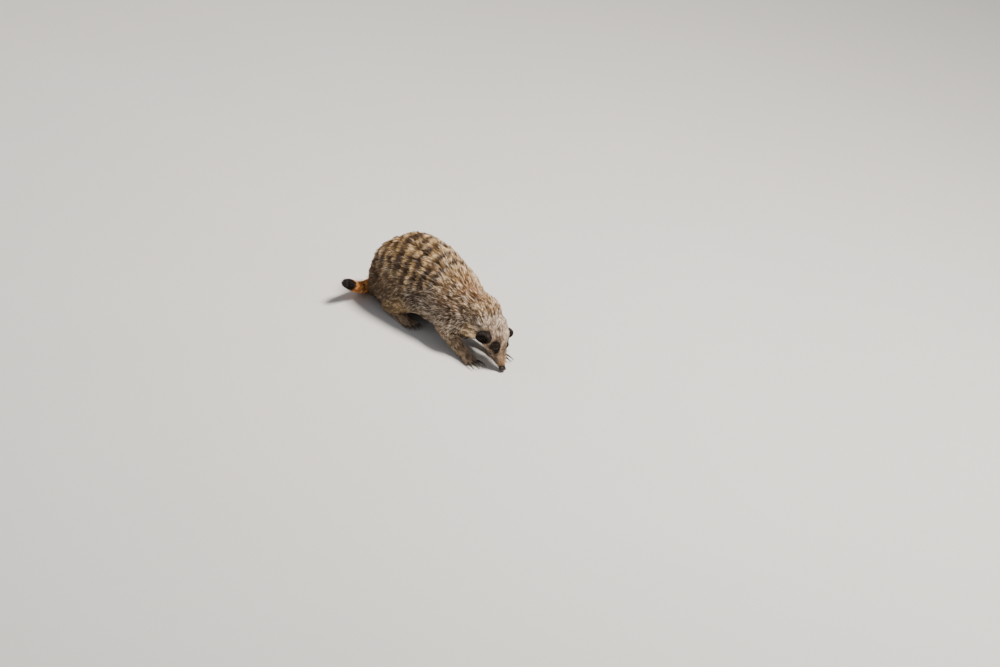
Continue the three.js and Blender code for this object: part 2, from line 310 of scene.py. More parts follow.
def pull(piece, place, size, move):
    """Draws a soft dent or bulge: faces near a place move, and those round them follow."""
    pick_faces(piece, lambda at: np.linalg.norm(at - np.array(place), axis=1) < size * 0.35)
    bpy.ops.transform.translate(
        value=move,
        use_proportional_edit=True,
        proportional_edit_falloff="SMOOTH",
        proportional_size=size,
    )
    leave_edit()


def close_and_turn_out(piece):
    """Merges doubles and points every face outwards."""
    edit_all(piece)
    bpy.ops.mesh.remove_doubles(threshold=0.001 * MM)
    bpy.ops.mesh.normals_make_consistent(inside=False)
    leave_edit()


def subdivide(piece, levels):
    modifier = piece.modifiers.new("round", "SUBSURF")
    modifier.levels = levels
    modifier.render_levels = levels
    finish_modifiers(piece)


def new_ball(name, segments, rings):
    """A ball of radius 1 with its pole on +z, to be shaped."""
    bpy.ops.object.select_all(action="DESELECT")
    bpy.ops.mesh.primitive_uv_sphere_add(segments=segments, ring_count=rings, radius=1)
    ball = bpy.context.object
    ball.name = name
    return ball


def set_in_head(piece, place, axes):
    """Takes a mesh in own millimetres to its place on the head. The axes are columns."""
    head = points_of(piece.data) @ np.array(axes).T + np.array(place)
    set_points(piece.data, from_head_places(head))


def points_of(mesh):
    flat = np.empty(len(mesh.vertices) * 3, np.float32)
    mesh.vertices.foreach_get("co", flat)
    return flat.reshape(-1, 3).astype(float)


def normals_of(mesh):
    flat = np.empty(len(mesh.vertices) * 3, np.float32)
    mesh.vertex_normals.foreach_get("vector", flat)
    return flat.reshape(-1, 3).astype(float)


def set_points(mesh, points):
    mesh.vertices.foreach_set("co", points.astype(np.float32).ravel())
    mesh.update()


def store_colour(mesh, name, colours):
    """Keeps a colour for each vertex in an attribute."""
    layer = mesh.attributes.new(name, "FLOAT_COLOR", "POINT")
    full = np.ones((len(colours), 4), np.float32)
    full[:, :3] = colours
    layer.data.foreach_set("color", full.ravel())


def store_number(mesh, name, values):
    layer = mesh.attributes.new(name, "FLOAT", "POINT")
    layer.data.foreach_set("value", values.astype(np.float32))


def store_places(mesh, name, points):
    layer = mesh.attributes.new(name, "FLOAT_VECTOR", "POINT")
    layer.data.foreach_set("vector", points.astype(np.float32).ravel())


def edges_of(mesh):
    flat = np.empty(len(mesh.edges) * 2, np.int32)
    mesh.edges.foreach_get("vertices", flat)
    return flat.reshape(-1, 2)


def softened(values, edges, rounds, share=0.5):
    """Each vertex's value drawn towards the mean of its neighbours, several times."""
    count = np.bincount(edges.ravel(), minlength=len(values)).astype(float)
    count = np.maximum(count, 1)[:, None]
    flat = values.reshape(len(values), -1)
    for _ in range(rounds):
        total = np.zeros_like(flat)
        for column in range(flat.shape[1]):
            for one, other in ((0, 1), (1, 0)):
                total[:, column] += np.bincount(
                    edges[:, one], flat[edges[:, other], column], minlength=len(flat)
                )
        flat = flat + share * (total / count - flat)
    return flat.reshape(values.shape)


def unit(vectors):
    return vectors / np.maximum(np.linalg.norm(vectors, axis=1, keepdims=True), 1e-12)


def shortened(vectors, limits):
    """Vectors made shorter where they are longer than their limit."""
    sizes = np.maximum(np.linalg.norm(vectors, axis=1), 1e-12)
    return vectors * np.minimum(1, limits / sizes)[:, None]


def smooth_step(low, high, values):
    """0 up to the low value and 1 from the high one, with a soft rise between them. With the
    higher value first it falls instead."""
    share = np.clip((values - low) / (high - low), 0, 1)
    return share * share * (3 - 2 * share)


def noise_at(points, size, seed=0.0):
    """Smooth noise of the given size in millimetres, from -1 to 1."""
    shift = Vector((seed * 17.3, seed * 5.1, -seed * 9.7))
    return np.array([noise.noise(Vector(p) / size + shift) for p in points])


def pad_gap(head):
    """How far a point lies from the nose pad's middle, where 1 is the pad's outside."""
    return np.linalg.norm((head - np.array(PAD)) / np.array(PAD_HALF), axis=1)


def near(points, centre, size):
    """1 at the centre, falling to 0 at about twice the size."""
    gap = np.linalg.norm((points - np.array(centre)) / np.array(size, float), axis=1)
    return np.exp(-(gap**2))


# ---- Markings -----------------------------------------------------------------------------


def along_line(places, points):
    """How far each point lies along a line, in millimetres, and which way the line runs there."""
    line = np.array(places, float)
    legs = line[1:] - line[:-1]
    sizes = np.linalg.norm(legs, axis=1)
    start = np.concatenate([[0], np.cumsum(sizes)[:-1]])
    best = np.full(len(points), np.inf)
    place = np.zeros(len(points))
    way = np.zeros((len(points), 3))
    for i, (foot, leg, size) in enumerate(zip(line, legs, sizes)):
        share = np.clip((points - foot) @ leg / size**2, 0, 1)
        gap = np.linalg.norm(points - foot - share[:, None] * leg, axis=1)
        closer = gap < best
        best[closer] = gap[closer]
        place[closer] = start[i] + share[closer] * size
        way[closer] = leg / size
    return place, way


def blend(colours, other, amount):
    """Colours drawn towards one other colour by an amount for each, from 0 to 1."""
    return colours + np.clip(amount, 0, 1)[:, None] * (np.array(other) - colours)


# The dark bands, in millimetres along the spine's line from the nose.
BAND_FROM = 125.0
BAND_TO = 298.0
BAND_STEP = 14.5
BLACK_FROM = 129.0  # millimetres along the tail's line to its black end
# The rust of the shoulders: share, middle and size of each patch.
SHOULDERS = (
    (0.9, (76, -6, 82), (27, 13, 12)),
    (0.4, (60, -30, 60), (24, 14, 13)),
    (0.4, (60, 30, 60), (24, 14, 13)),
)
EYE_PATCH = (9.2, 7.4)  # half the dark patch round an eye, along the muzzle and upwards
EAR_SHADE = (8.6, 7.5, 12.5)  # half the painted shade under an ear


class Places:
    """Points in the animal's millimetres, with what the markings ask about each of them."""

    def __init__(self, points, kinds):
        self.points = points
        self.kinds = kinds
        self.height = points[:, 2]
        self.side = np.abs(points[:, 1])
        self.from_nose, _ = along_line(SPINE, points)
        self.head = to_head(points)
        self.on_head = kinds["head"] + kinds["muzzle"] + kinds["lower_jaw"]
        self.wide = noise_at(points, 23, 1)
        self.fine = noise_at(points, 6, 2)


def markings(points, kinds, coat):
    """The coat's colour at each point. Kinds is one weight array for each kind of node."""
    at = Places(points, kinds)
    colours = body_colours(at, coat)
    for paint in (paint_bands, paint_face, paint_round_eyes_and_ears, paint_tail_and_feet):
        colours = paint(colours, at, coat)
    return np.clip(colours * (1 + 0.10 * at.wide + 0.08 * at.fine)[:, None], 0, 1)


def body_colours(at, coat):
    """Gold over the rump and greyer forwards, with grey flanks, a pale belly and rust on the
    shoulders."""
    colours = np.tile(np.array(coat.grey), (len(at.points), 1))
    colours = blend(colours, coat.gold, smooth_step(40, 95, at.height + 9 * at.wide) * 0.85)
    colours = blend(colours, coat.haunch, at.kinds["thigh"] * 0.55 + at.kinds["shank"])
    low = smooth_step(46, 20, at.height + 5 * at.wide)
    colours = blend(colours, coat.cream, low * (1 - at.kinds["thigh"]) * 0.24)
    front = smooth_step(175, 112, at.from_nose + 14 * at.wide)
    colours = blend(colours, coat.face, front * 0.45)
    rust = sum(share * near(at.points, middle, size) for share, middle, size in SHOULDERS)
    return blend(colours, coat.rust, rust * 0.72 * (0.8 + 0.6 * at.fine))


def paint_bands(colours, at, coat):
    """Broken dark bands cross the back, with cream between them."""
    inside = smooth_step(BAND_FROM, BAND_FROM + 22, at.from_nose)
    inside *= smooth_step(BAND_TO, BAND_TO - 12, at.from_nose)
    ragged = noise_at(at.points * np.array([1.0, 0.55, 0.55]), 9, 3)
    wave = (at.from_nose + 3.4 * ragged + 2.4 * at.fine + 0.10 * at.side) / BAND_STEP
    stripe = 0.5 + 0.5 * np.cos(2 * math.pi * wave)
    reach = smooth_step(42, 68, at.height + 10 * at.wide + 6 * at.fine)
    broken = smooth_step(-0.6, 0.1, noise_at(at.points * np.array([0.7, 1.0, 1.0]), 14, 5))
    narrow = 0.50 - 0.16 * smooth_step(8, 30, at.side)
    dark = smooth_step(narrow, narrow + 0.22, stripe) * inside * reach * (0.5 + 0.5 * broken)
    pale = smooth_step(narrow - 0.05, narrow - 0.25, stripe) * inside * reach
    colours = blend(colours, coat.cream, pale * (0.62 - 0.12 * smooth_step(10, 30, at.side)))
    return blend(colours, coat.band, dark * 0.92)


def paint_face(colours, at, coat):
    """Pale and short, white at the brow, and dark round the nose and along the mouth."""
    head = at.head
    colours = blend(colours, coat.face, at.on_head * 0.9)
    brow = smooth_step(-30, -55, head[:, 0] + 6 * at.wide) * at.on_head
    colours = blend(colours, coat.frost, brow * (0.18 + 0.5 * at.fine))
    throat = smooth_step(-3, -14, head[:, 2]) * at.on_head
    colours = blend(colours, coat.cream, throat * 0.6)
    bridge = near(head, (-8, 0, 4), (12, 5, 5)) * at.on_head
    colours = blend(colours, coat.rust, bridge * 0.45)
    round_pad = smooth_step(1.75, 1.15, pad_gap(head)) * 0.8
    colours = blend(colours, coat.patch, round_pad * at.on_head)
    return blend(colours, coat.patch, 0.8 * mouth_line(head, 0.9) * at.on_head)


def paint_round_eyes_and_ears(colours, at, coat):
    """A dark patch lies round each eye, and softer painted shade lies under each ear."""
    for hand in HANDS.values():
        middle, out, inner, up = eye_axes(hand)
        gap = at.head - middle
        patch = np.hypot((gap @ inner + 1.0) / EYE_PATCH[0], (gap @ up + 0.3) / EYE_PATCH[1])
        patch[gap @ out < -2] = FAR
        amount = smooth_step(1.12, 0.86, patch + 0.10 * at.fine)
        colours = blend(colours, coat.patch, amount * at.on_head)
        # Painted shade under the ear, in the bands' dark colour.
        ear = np.array([EAR.x, hand * EAR.y, EAR.z])
        gap = np.linalg.norm((at.head - ear) / np.array(EAR_SHADE), axis=1)
        colours = blend(colours, coat.band, smooth_step(1.10, 0.90, gap) * 0.6 * at.on_head)
    return colours


def paint_tail_and_feet(colours, at, coat):
    """The tail is orange along its length and black at the end, and the feet are pale."""
    tail = sum(at.kinds[name] for name in TAIL_NODES)
    colours = blend(colours, coat.tail, tail * 0.92)
    reach, _ = along_line(TAIL, at.points)
    end = smooth_step(BLACK_FROM - 5, BLACK_FROM + 5, reach + 3 * at.fine)
    colours = blend(colours, coat.black, end * tail)
    arm = 0.35 * (at.kinds["forearm"] + at.kinds["upper_arm"])
    colours = blend(colours, coat.haunch, arm)
    foot = at.kinds["hind_foot"] + at.kinds["fore_paw"] + 0.3 * at.kinds["forearm"]
    return blend(colours, coat.paw, foot)


# ---- Materials ----------------------------------------------------------------------------

# Sockets of the Mix node when it mixes colours.
MIX_FACTOR, MIX_ONE, MIX_OTHER, MIX_RESULT = 0, 6, 7, 2


def new_material(name):
    """A material with its node tree and its shader."""
    material = bpy.data.materials.new(name)
    material.use_nodes = True
    tree = material.node_tree
    shader = next(n for n in tree.nodes if n.type == "BSDF_PRINCIPLED")
    return material, tree, shader


def set_sockets(node, **values):
    """Plain values for a node's sockets, with an underscore for each space in their names."""
    for name, value in values.items():
        node.inputs[name.replace("_", " ")].default_value = value


def join(tree, start, end):
    tree.links.new(start, end)


def texture(tree, kind, place=None, **values):
    """A texture's node, read at the object's own coordinates where no other place is given."""
    node = tree.nodes.new("ShaderNodeTex" + kind)
    set_sockets(node, **values)
    if place is None:
        place = tree.nodes.new("ShaderNodeTexCoord").outputs["Object"]
    join(tree, place, node.inputs["Vector"])
    return node


def vector_math(tree, operation, one, other=None):
    """A step of vector arithmetic on a socket, with a plain second value where one is needed."""
    node = tree.nodes.new("ShaderNodeVectorMath")
    node.operation = operation
    join(tree, one, node.inputs[0])
    if other is not None:
        node.inputs[1].default_value = other
    return node


def mix(tree, factor, one, other, way="MIX"):
    """Mixes two colours. Each input is a socket or a plain value."""
    node = tree.nodes.new("ShaderNodeMix")
    node.data_type = "RGBA"
    node.blend_type = way
    for index, value in ((MIX_FACTOR, factor), (MIX_ONE, one), (MIX_OTHER, other)):
        if isinstance(value, bpy.types.NodeSocket):
            join(tree, value, node.inputs[index])
        else:
            node.inputs[index].default_value = value
    return node.outputs[MIX_RESULT]


def times(tree, one, other):
    """Two colours multiplied."""
    return mix(tree, 1.0, one, other, "MULTIPLY")


def ramp(tree, source, stops):
    """A ramp through (place, value) stops, where a value is a grey or a colour."""
    node = tree.nodes.new("ShaderNodeValToRGB")
    while len(node.color_ramp.elements) < len(stops):
        node.color_ramp.elements.new(0.5)
    for element, (place, value) in zip(node.color_ramp.elements, stops):
        element.position = place
        element.color = (*value, 1) if isinstance(value, tuple) else (value, value, value, 1)
    join(tree, source, node.inputs[0])
    return node.outputs[0]


def attribute(tree, name, output="Fac"):
    """A mesh attribute's socket: Fac for a number, or else Color or Vector."""
    node = tree.nodes.new("ShaderNodeAttribute")
    node.attribute_name = name
    return node.outputs[output]


def bump(tree, shader, height, strength, distance):
    node = tree.nodes.new("ShaderNodeBump")
    set_sockets(node, Strength=strength, Distance=distance)
    join(tree, height, node.inputs["Height"])
    join(tree, node.outputs["Normal"], shader.inputs["Normal"])


def coat_material():
    """Hair: darker at the root, partly its own darker base and partly painted shade between the
    locks, and pale near the tip, brightened there past its colour as a painted highlight. Each lock
    is a little different.
    """
    material, tree, shader = new_material("coat_hair")
    # Along the lock: painted shade at the root and a painted highlight past 1 at the tip, over the
    # hair's own darker base and pale ring.
    shade = [(0.0, 0.22), (0.3, 0.45), (0.62, 0.88), (0.85, 1.3), (1.0, 1.35)]
    colour = attribute(tree, "marking", "Color")
    colour = times(tree, colour, ramp(tree, attribute(tree, "tip"), shade))
    dark, plain, pale = (0.32, 0.25, 0.21), (0.84, 0.80, 0.77), (1.66, 1.62, 1.56)
    spread = [(0.05, dark), (0.5, plain), (0.95, pale)]
    # Each lock's tone, from dark to pale: random, with painted shade where its tuft lies lower.
    colour = times(tree, colour, ramp(tree, attribute(tree, "chance"), spread))
    strands = texture(tree, "Noise", Scale=900.0, Detail=3.0, Roughness=0.6)
    grain = ramp(tree, strands.outputs["Fac"], [(0.3, 0.78), (0.7, 1.18)])
    join(tree, times(tree, colour, grain), shader.inputs["Base Color"])
    set_sockets(shader, Roughness=0.62, Specular_IOR_Level=0.22)
    set_sockets(shader, Sheen_Weight=0.05, Sheen_Roughness=0.5)
    return material


def skin_material():
    """Under-fur and short flat hair in the markings' colours, with painted shade where the coat
    over it is deep, and dark bare skin.
    """
    material, tree, shader = new_material("skin_underfur")
    streaks = texture(tree, "Noise", Scale=1400.0, Detail=4.0, Roughness=0.65)
    patches = texture(tree, "Noise", Scale=240.0, Detail=2.0)
    grain = ramp(tree, streaks.outputs["Fac"], [(0.3, 0.6), (0.72, 1.15)])
    colour = times(tree, attribute(tree, "marking", "Color"), grain)
    # Painted shade: darker where the coat over the skin is deeper.
    under = ramp(tree, attribute(tree, "depth"), [(0.1, 0.95), (0.5, 0.62)])
    colour = times(tree, colour, under)
    bare = attribute(tree, "bare")
    colour = mix(tree, bare, colour, (0.010, 0.007, 0.006, 1))
    join(tree, colour, shader.inputs["Base Color"])
    rough = ramp(tree, patches.outputs["Fac"], [(0.3, 0.62), (0.7, 0.86)])
    rough = mix(tree, bare, rough, (0.5, 0.5, 0.5, 1))
    join(tree, rough, shader.inputs["Roughness"])
    set_sockets(shader, Specular_IOR_Level=0.16)
    bump(tree, shader, streaks.outputs["Fac"], 0.6, 0.0006)
    return material


# ---- Skin ---------------------------------------------------------------------------------


def flesh_tree():
    """All outer faces of the flesh as one search tree, with each face's kind of node."""
    points = []
    faces = []
    owners = []
    for name in FLESH:
        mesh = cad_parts[name].data
        first = len(points)
        points.extend(v.co.copy() for v in mesh.vertices)
        for face in mesh.polygons:
            faces.append([first + i for i in face.vertices])
            owners.append(kind_of(name))
    return BVHTree.FromPolygons(points, faces), owners


class Ground:
    """A piece that locks grow on, with what they need to know at each of its vertices."""

    def __init__(self, piece, kinds, **values):
        self.piece = piece
        self.kinds = kinds
        self.values = values


GROUNDS = {}  # the skin and the ears, once they are made

# Rounds of softening over the skin: for the kinds of node, the coat's table and its lie.
KIND_ROUNDS, TABLE_ROUNDS, WAY_ROUNDS = 7, 8, 14


def nearest_kinds(points):
    """All kinds of node, and the number of the one that lies nearest to each point."""
    tree, owners = flesh_tree()
    names = sorted(COAT)
    found = np.array([names.index(owners[tree.find_nearest(Vector(p))[2]]) for p in points])
    return names, found


def read_coat(points, edges):
    """The coat table at each vertex, softened over the skin so that nothing changes abruptly."""
    names, found = nearest_kinds(points)
    weights = np.zeros((len(points), len(names)))
    weights[np.arange(len(points)), found] = 1
    weights = softened(weights, edges, KIND_ROUNDS)
    numbers = np.array([COAT[name][:3] for name in names])
    length, depth, thickness = softened(weights @ numbers, edges, TABLE_ROUNDS).T
    _, way = along_line(SPINE, millimetres(points))
    _, tail_way = along_line(TAIL, millimetres(points))
    for index, name in enumerate(names):
        if COAT[name][3]:
            way[found == index] = COAT[name][3]
        if name in TAIL_NODES:
            way[found == index] = tail_way[found == index]
    way = unit(softened(way, edges, WAY_ROUNDS))
    kinds = {name: weights[:, i] for i, name in enumerate(names)}
    return length, depth, thickness, way, kinds


def fit_to_features(points, length, depth, thickness):
    """The coat is shortest round the eyes, the nose, the mouth and the rims of the ears, and
    no hair grows on the lids' edges, the nose or in the mouth. It is deepest at the tail's end."""
    head = head_places(points)
    close = near(head, (0, 0, 0), (9, 9, 9))
    bare = smooth_step(1.22, 1.05, pad_gap(head)) + mouth_line(head, 0.8)
    for hand in HANDS.values():
        close += near(head, (EYE.x, hand * EYE.y, EYE.z), (8, 8, 8))
        close += 0.7 * near(head, (EAR.x, hand * EAR.y, EAR.z), (11, 8, 14))
        bare += smooth_step(1.16, 1.06, eye_place(head, hand)[1])
        bare += smooth_step(1.04, 0.9, ear_gap(head, hand))
    close = np.clip(close, 0, 1)
    thickness = thickness * np.clip(1 - bare, 0, 1)
    end = smooth_step(TAIL_END - 7, TAIL_END, along_line(TAIL, millimetres(points))[0])
    return length * (1 - 0.72 * close), depth * (1 - 0.7 * close) + 3.5 * end, thickness


def parted_round_eyes(points, way):
    """The hair of the face runs out from each eye before it joins the coat's lie."""
    head = head_places(points)
    turn = np.array(HEAD_TURN)
    for hand in HANDS.values():
        middle, out, _, _ = eye_axes(hand)
        gap = head - middle
        aside = unit(gap - (gap @ out)[:, None] * out) @ turn.T
        way = way + 2.2 * near(head, middle + 4 * out, (7, 7, 7))[:, None] * aside
    return unit(way)


def eye_axes(hand):
    """The eye's middle, the way it looks, the way to its inner corner and its upright."""
    middle = np.array([EYE.x, hand * EYE.y, EYE.z])
    out = np.array([EYE_OUT.x, hand * EYE_OUT.y, EYE_OUT.z])
    out /= np.linalg.norm(out)
    inner = np.array(EYE_CORNER)
    inner -= (inner @ out) * out
    inner /= np.linalg.norm(inner)
    up = np.cross(out, inner) * -hand
    return middle, out, inner, up


def eye_place(head, hand):
    """Distance from the eye's middle, and a number that is 1 on the lids' edge and less in
    the opening."""
    middle, out, inner, up = eye_axes(hand)
    gap = head - middle
    distance = np.linalg.norm(gap, axis=1)
    way = gap / np.maximum(distance, 1e-9)[:, None]
    side = np.arctan2(way @ inner, way @ out)
    rise = np.arcsin(np.clip(way @ up, -1, 1))
    height = np.where(rise > 0, LID_HEIGHTS[0], LID_HEIGHTS[1])
    edge = np.abs(rise / height) ** 1.5 + np.abs(side / LID_WIDTH) ** 1.9
    edge[(way @ out < 0) | (distance > 12)] = FAR
    return distance, edge


def set_lids(head, hand):
    """Lays the skin over the eyeball as lids, and sinks it behind the eyeball between them."""
    middle = eye_axes(hand)[0]
    distance, edge = eye_place(head, hand)
    over = EYE_RADIUS + LID + 0.12 * smooth_step(1.0, 1.2, edge) * smooth_step(1.7, 1.3, edge)
    lid = (distance + over + np.sqrt((distance - over) ** 2 + 0.5)) / 2
    near_eye = smooth_step(4.0, 2.6, edge) * smooth_step(10, 8, distance)
    reach = distance + near_eye * (lid - distance)
    reach -= 0.22 * smooth_step(1.7, 2.1, edge) * smooth_step(2.7, 2.2, edge)
    opening = smooth_step(1.04, 0.92, edge)
    reach = reach + opening * (EYE_RADIUS - 1.0 - reach)
    scale = reach / np.maximum(distance, 1e-9)
    return middle + (head - middle) * scale[:, None]


def mouth_height(x):
    """The mouth line's height under the head's axis: it dips a little and lifts at its corner."""
    return -MOUTH_BELOW - MOUTH_DIP * np.sin(np.clip(x / MOUTH_BACK, 0, 1) * math.pi * 0.8)


def mouth_line(head, width):
    """1 on the mouth line, falling to 0 within the given width."""
    x = head[:, 0]
    off = (head[:, 2] - mouth_height(x)) / width
    return np.exp(-(off**2)) * smooth_step(MOUTH_BACK - 1, MOUTH_BACK + 2, x) * (head[:, 2] < 2)


def set_mouth(head, normals):
    """Draws in the mouth line and rounds the lips beside it and the pads of the whiskers."""
    press = -0.75 * mouth_line(head, 0.5) + 0.3 * mouth_line(head, 1.7)
    for hand in HANDS.values():
        press += 0.7 * near(head, (-7.5, hand * 5.5, -0.4), (5, 3.2, 3))
        press += 0.5 * near(head, (EYE.x + 1, hand * (EYE.y - 3.4), EYE.z + 6.2), (6, 2.6, 2.2))
    groove = np.exp(-((head[:, 1] / 0.45) ** 2)) * smooth_step(-3, 0, head[:, 0])
    press -= 0.4 * groove * (head[:, 2] < -0.5)
    return head + normals * press[:, None]


def ear_gap(head, hand):
    """How far a point lies from the ear's middle, where 1 is the ear's outside."""
    gap = (head - np.array([EAR.x, hand * EAR.y, EAR.z])) @ ear_turn(hand)
    return np.linalg.norm(gap / np.array(EAR_HALF), axis=1)


def ear_turn(hand):
    """The ear's own axes in the head's, as columns: forwards, to the left and up."""
    lean = Matrix.Rotation(EAR_LEAN, 3, "Y")
    fold = Matrix.Rotation(-EAR_FOLD * hand, 3, "Z")
    return np.array(lean @ fold)


SWELL = 0.3  # how far the solids grow before they are joined, so that their gaps close
EVEN_SHARE, EVEN_ROUNDS = 0.5, 6  # smoothing of the joined skin
DRAW_STEPS = 5  # small steps in which the skin is drawn in
EAR_BED = (8.0, 3.4, 12.4)  # half the sizes of the dome under an ear
EAR_BED_INWARDS = 5.4  # how far the dome lies from the ear's middle towards the skull
DEEPEST = 9.0  # depth of the coat that the skin's shader takes as full


class MEERKAT_OT_skin(bpy.types.Operator):
    """Makes one skin from the solids of flesh, drawn in by the coat's depth"""

    bl_idname = "meerkat.skin"
    bl_label = "Skin"

    def execute(self, context):
        coat = context.scene.meerkat_coat
        solids = []
        for name in FLESH + ["eye_right", "eye_left", "nose"]:
            solids.append(new_piece("flesh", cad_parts[name].data.copy()))
        solids += [self.ear_bed(hand) for hand in HANDS.values()]
        bpy.ops.object.select_all(action="DESELECT")
        for solid in solids:
            solid.select_set(True)
        skin = solids[0]
        context.view_layer.objects.active = skin
        bpy.ops.object.join()
        skin.name = "skin"
        skin.data.materials.clear()
        edit_all(skin)
        bpy.ops.mesh.remove_doubles(threshold=0.01 * MM)
        leave_edit()
        swell = skin.modifiers.new("swell", "DISPLACE")
        swell.mid_level = 0
        swell.strength = SWELL * MM
        remesh = skin.modifiers.new("remesh", "REMESH")
        remesh.mode = "VOXEL"
        remesh.voxel_size = coat.cell
        even = skin.modifiers.new("even", "SMOOTH")
        even.factor = EVEN_SHARE
        even.iterations = EVEN_ROUNDS
        finish_modifiers(skin)
        self.refine(skin, lambda head: head[:, 0] > MUZZLE_BACK)
        for _ in range(2):
            self.refine(skin, self.round_eyes)
        self.draw_in(skin, coat)
        bpy.ops.object.shade_smooth()
        hand_in(skin, FLESH, skin_material())
        return {"FINISHED"}

    def ear_bed(self, hand):
        """A low dome that fills the hole under the ear, inside the ear's own shell."""
        bed = new_ball("ear_bed", 32, 16)
        dome = points_of(bed.data) * EAR_BED
        set_points(bed.data, dome + (0, -EAR_BED_INWARDS * hand, 0))
        set_in_head(bed, (EAR.x, hand * EAR.y, EAR.z), ear_turn(hand))
        return bed

    def round_eyes(self, head):
        """Points near either eye's opening."""
        found = np.zeros(len(head), bool)
        for hand in HANDS.values():
            distance, edge = eye_place(head, hand)
            found |= (edge < 2.4) & (distance < 9)
        return found

    def refine(self, skin, wanted):
        """Cuts the faces of one part of the head into four."""

        def inside(middles):
            head = head_places(middles)
            return wanted(head) & (head[:, 0] > FACE_BACK) & (np.abs(head[:, 1]) < FACE_HALF)

        pick_faces(skin, inside)
        bpy.ops.mesh.subdivide(number_cuts=1, smoothness=0.6)
        leave_edit()

    def draw_in(self, skin, coat):
        """Moves the skin inwards by the coat's depth in small steps, shapes the face and marks
        the skin."""
        mesh = skin.data
        edges = edges_of(mesh)
        outer = points_of(mesh)
        length, depth, thickness, way, kinds = read_coat(outer, edges)
        length, depth, thickness = fit_to_features(outer, length, depth, thickness)
        way = parted_round_eyes(outer, way)
        points = outer
        for _ in range(DRAW_STEPS):
            points = points - normals_of(mesh) * depth[:, None] * MM / DRAW_STEPS
            points = softened(points, edges, 1, 0.35)
            points[:, 2] = np.maximum(points[:, 2], 0.0)
            set_points(mesh, points)
        points = self.shape_face(points, normals_of(mesh))
        set_points(mesh, points)
        colours = markings(millimetres(outer), kinds, coat)
        GROUNDS["skin"] = Ground(
            skin, kinds, length=length, depth=depth, thickness=thickness, way=way, marking=colours
        )
        store_colour(mesh, "marking", colours)
        store_number(mesh, "depth", np.clip(depth / DEEPEST, 0, 1))
        store_number(mesh, "bare", self.bareness(head_places(points)))

    def shape_face(self, points, normals):
        """Sets the mouth and the lids in the skin of the head."""
        face = np.flatnonzero(head_places(points)[:, 0] > FACE_BACK)
        head = set_mouth(head_places(points[face]), normals[face] @ np.array(HEAD_TURN))
        for hand in HANDS.values():
            head = set_lids(head, hand)
        points = points.copy()
        points[face] = from_head_places(head)
        return points

    def bareness(self, head):
        """1 where dark skin shows: the lids' edges and the lips."""
        bare = 0.8 * mouth_line(head, 0.7)
        for hand in HANDS.values():
            bare = np.maximum(bare, smooth_step(1.40, 1.20, eye_place(head, hand)[1]))
        return np.clip(bare + smooth_step(1.35, 1.15, pad_gap(head)), 0, 1)


# ---- Eyes, nose and ears ------------------------------------------------------------------


def eye_material():
    """Dark brown iris with a level oval pupil and a black rim, wet and clear in front."""
    material, tree, shader = new_material("eye")
    own = attribute(tree, "own", "Vector")

    def reach(across, high):
        """How far out a point lies on an oval of the given half width and height."""
        scaled = vector_math(tree, "MULTIPLY", own, (1 / across, 1 / high, 0))
        return vector_math(tree, "LENGTH", scaled.outputs["Vector"]).outputs["Value"]

    rim = ramp(tree, reach(1.0, 1.0), [(0.46, 0.0), (0.70, 1.0)])
    pupil = ramp(tree, reach(0.40, 0.26), [(0.9, 1.0), (1.0, 0.0)])
    rays = texture(tree, "Noise", own, Scale=9.0, Detail=4.0)
    brown = mix(tree, rays.outputs["Fac"], (0.006, 0.003, 0.002, 1), (0.028, 0.012, 0.005, 1))
    colour = mix(tree, rim, brown, (0.012, 0.008, 0.006, 1))
    colour = mix(tree, pupil, colour, (0.002, 0.002, 0.002, 1))
    join(tree, colour, shader.inputs["Base Color"])
    set_sockets(shader, Roughness=0.12, Specular_IOR_Level=0.12)
    set_sockets(shader, Coat_Weight=0.25, Coat_Roughness=0.03)
    return material


class MEERKAT_OT_eyes(bpy.types.Operator):
    """Makes both eyeballs, which bulge a little in front, and sets them behind the lids"""

    bl_idname = "meerkat.eyes"
    bl_label = "Eyes"

    def execute(self, context):
        material = eye_material()
        for side, hand in HANDS.items():
            middle, out, inner, up = eye_axes(hand)
            ball = new_ball("eyeball_" + side, 48, 32)
            pull(ball, (0, 0, 1), 0.55, (0, 0, 0.07))
            store_places(ball.data, "own", points_of(ball.data))
            axes = np.stack([inner, up, out], axis=1)
            set_in_head(ball, middle, axes * EYE_RADIUS)
            close_and_turn_out(ball)
            bpy.ops.object.shade_smooth()
            hand_in(ball, ["eye_" + side], material)
        return {"FINISHED"}


def leather_material(name, colour, rough, grain, gloss):
    """Bare dark skin with a pebbled grain."""
    material, tree, shader = new_material(name)
    pebbles = texture(tree, "Voronoi", Scale=grain)
    patches = texture(tree, "Noise", Scale=grain * 0.2, Detail=3.0).outputs["Fac"]
    shade = ramp(tree, patches, [(0.3, 0.7), (0.7, 1.35)])
    join(tree, times(tree, (*colour, 1), shade), shader.inputs["Base Color"])
    spread = ramp(tree, patches, [(0.3, rough * 0.8), (0.7, rough * 1.2)])
    join(tree, spread, shader.inputs["Roughness"])
    set_sockets(shader, Specular_IOR_Level=gloss)
    bump(tree, shader, pebbles.outputs["Distance"], 0.3, 0.00012)
    return material


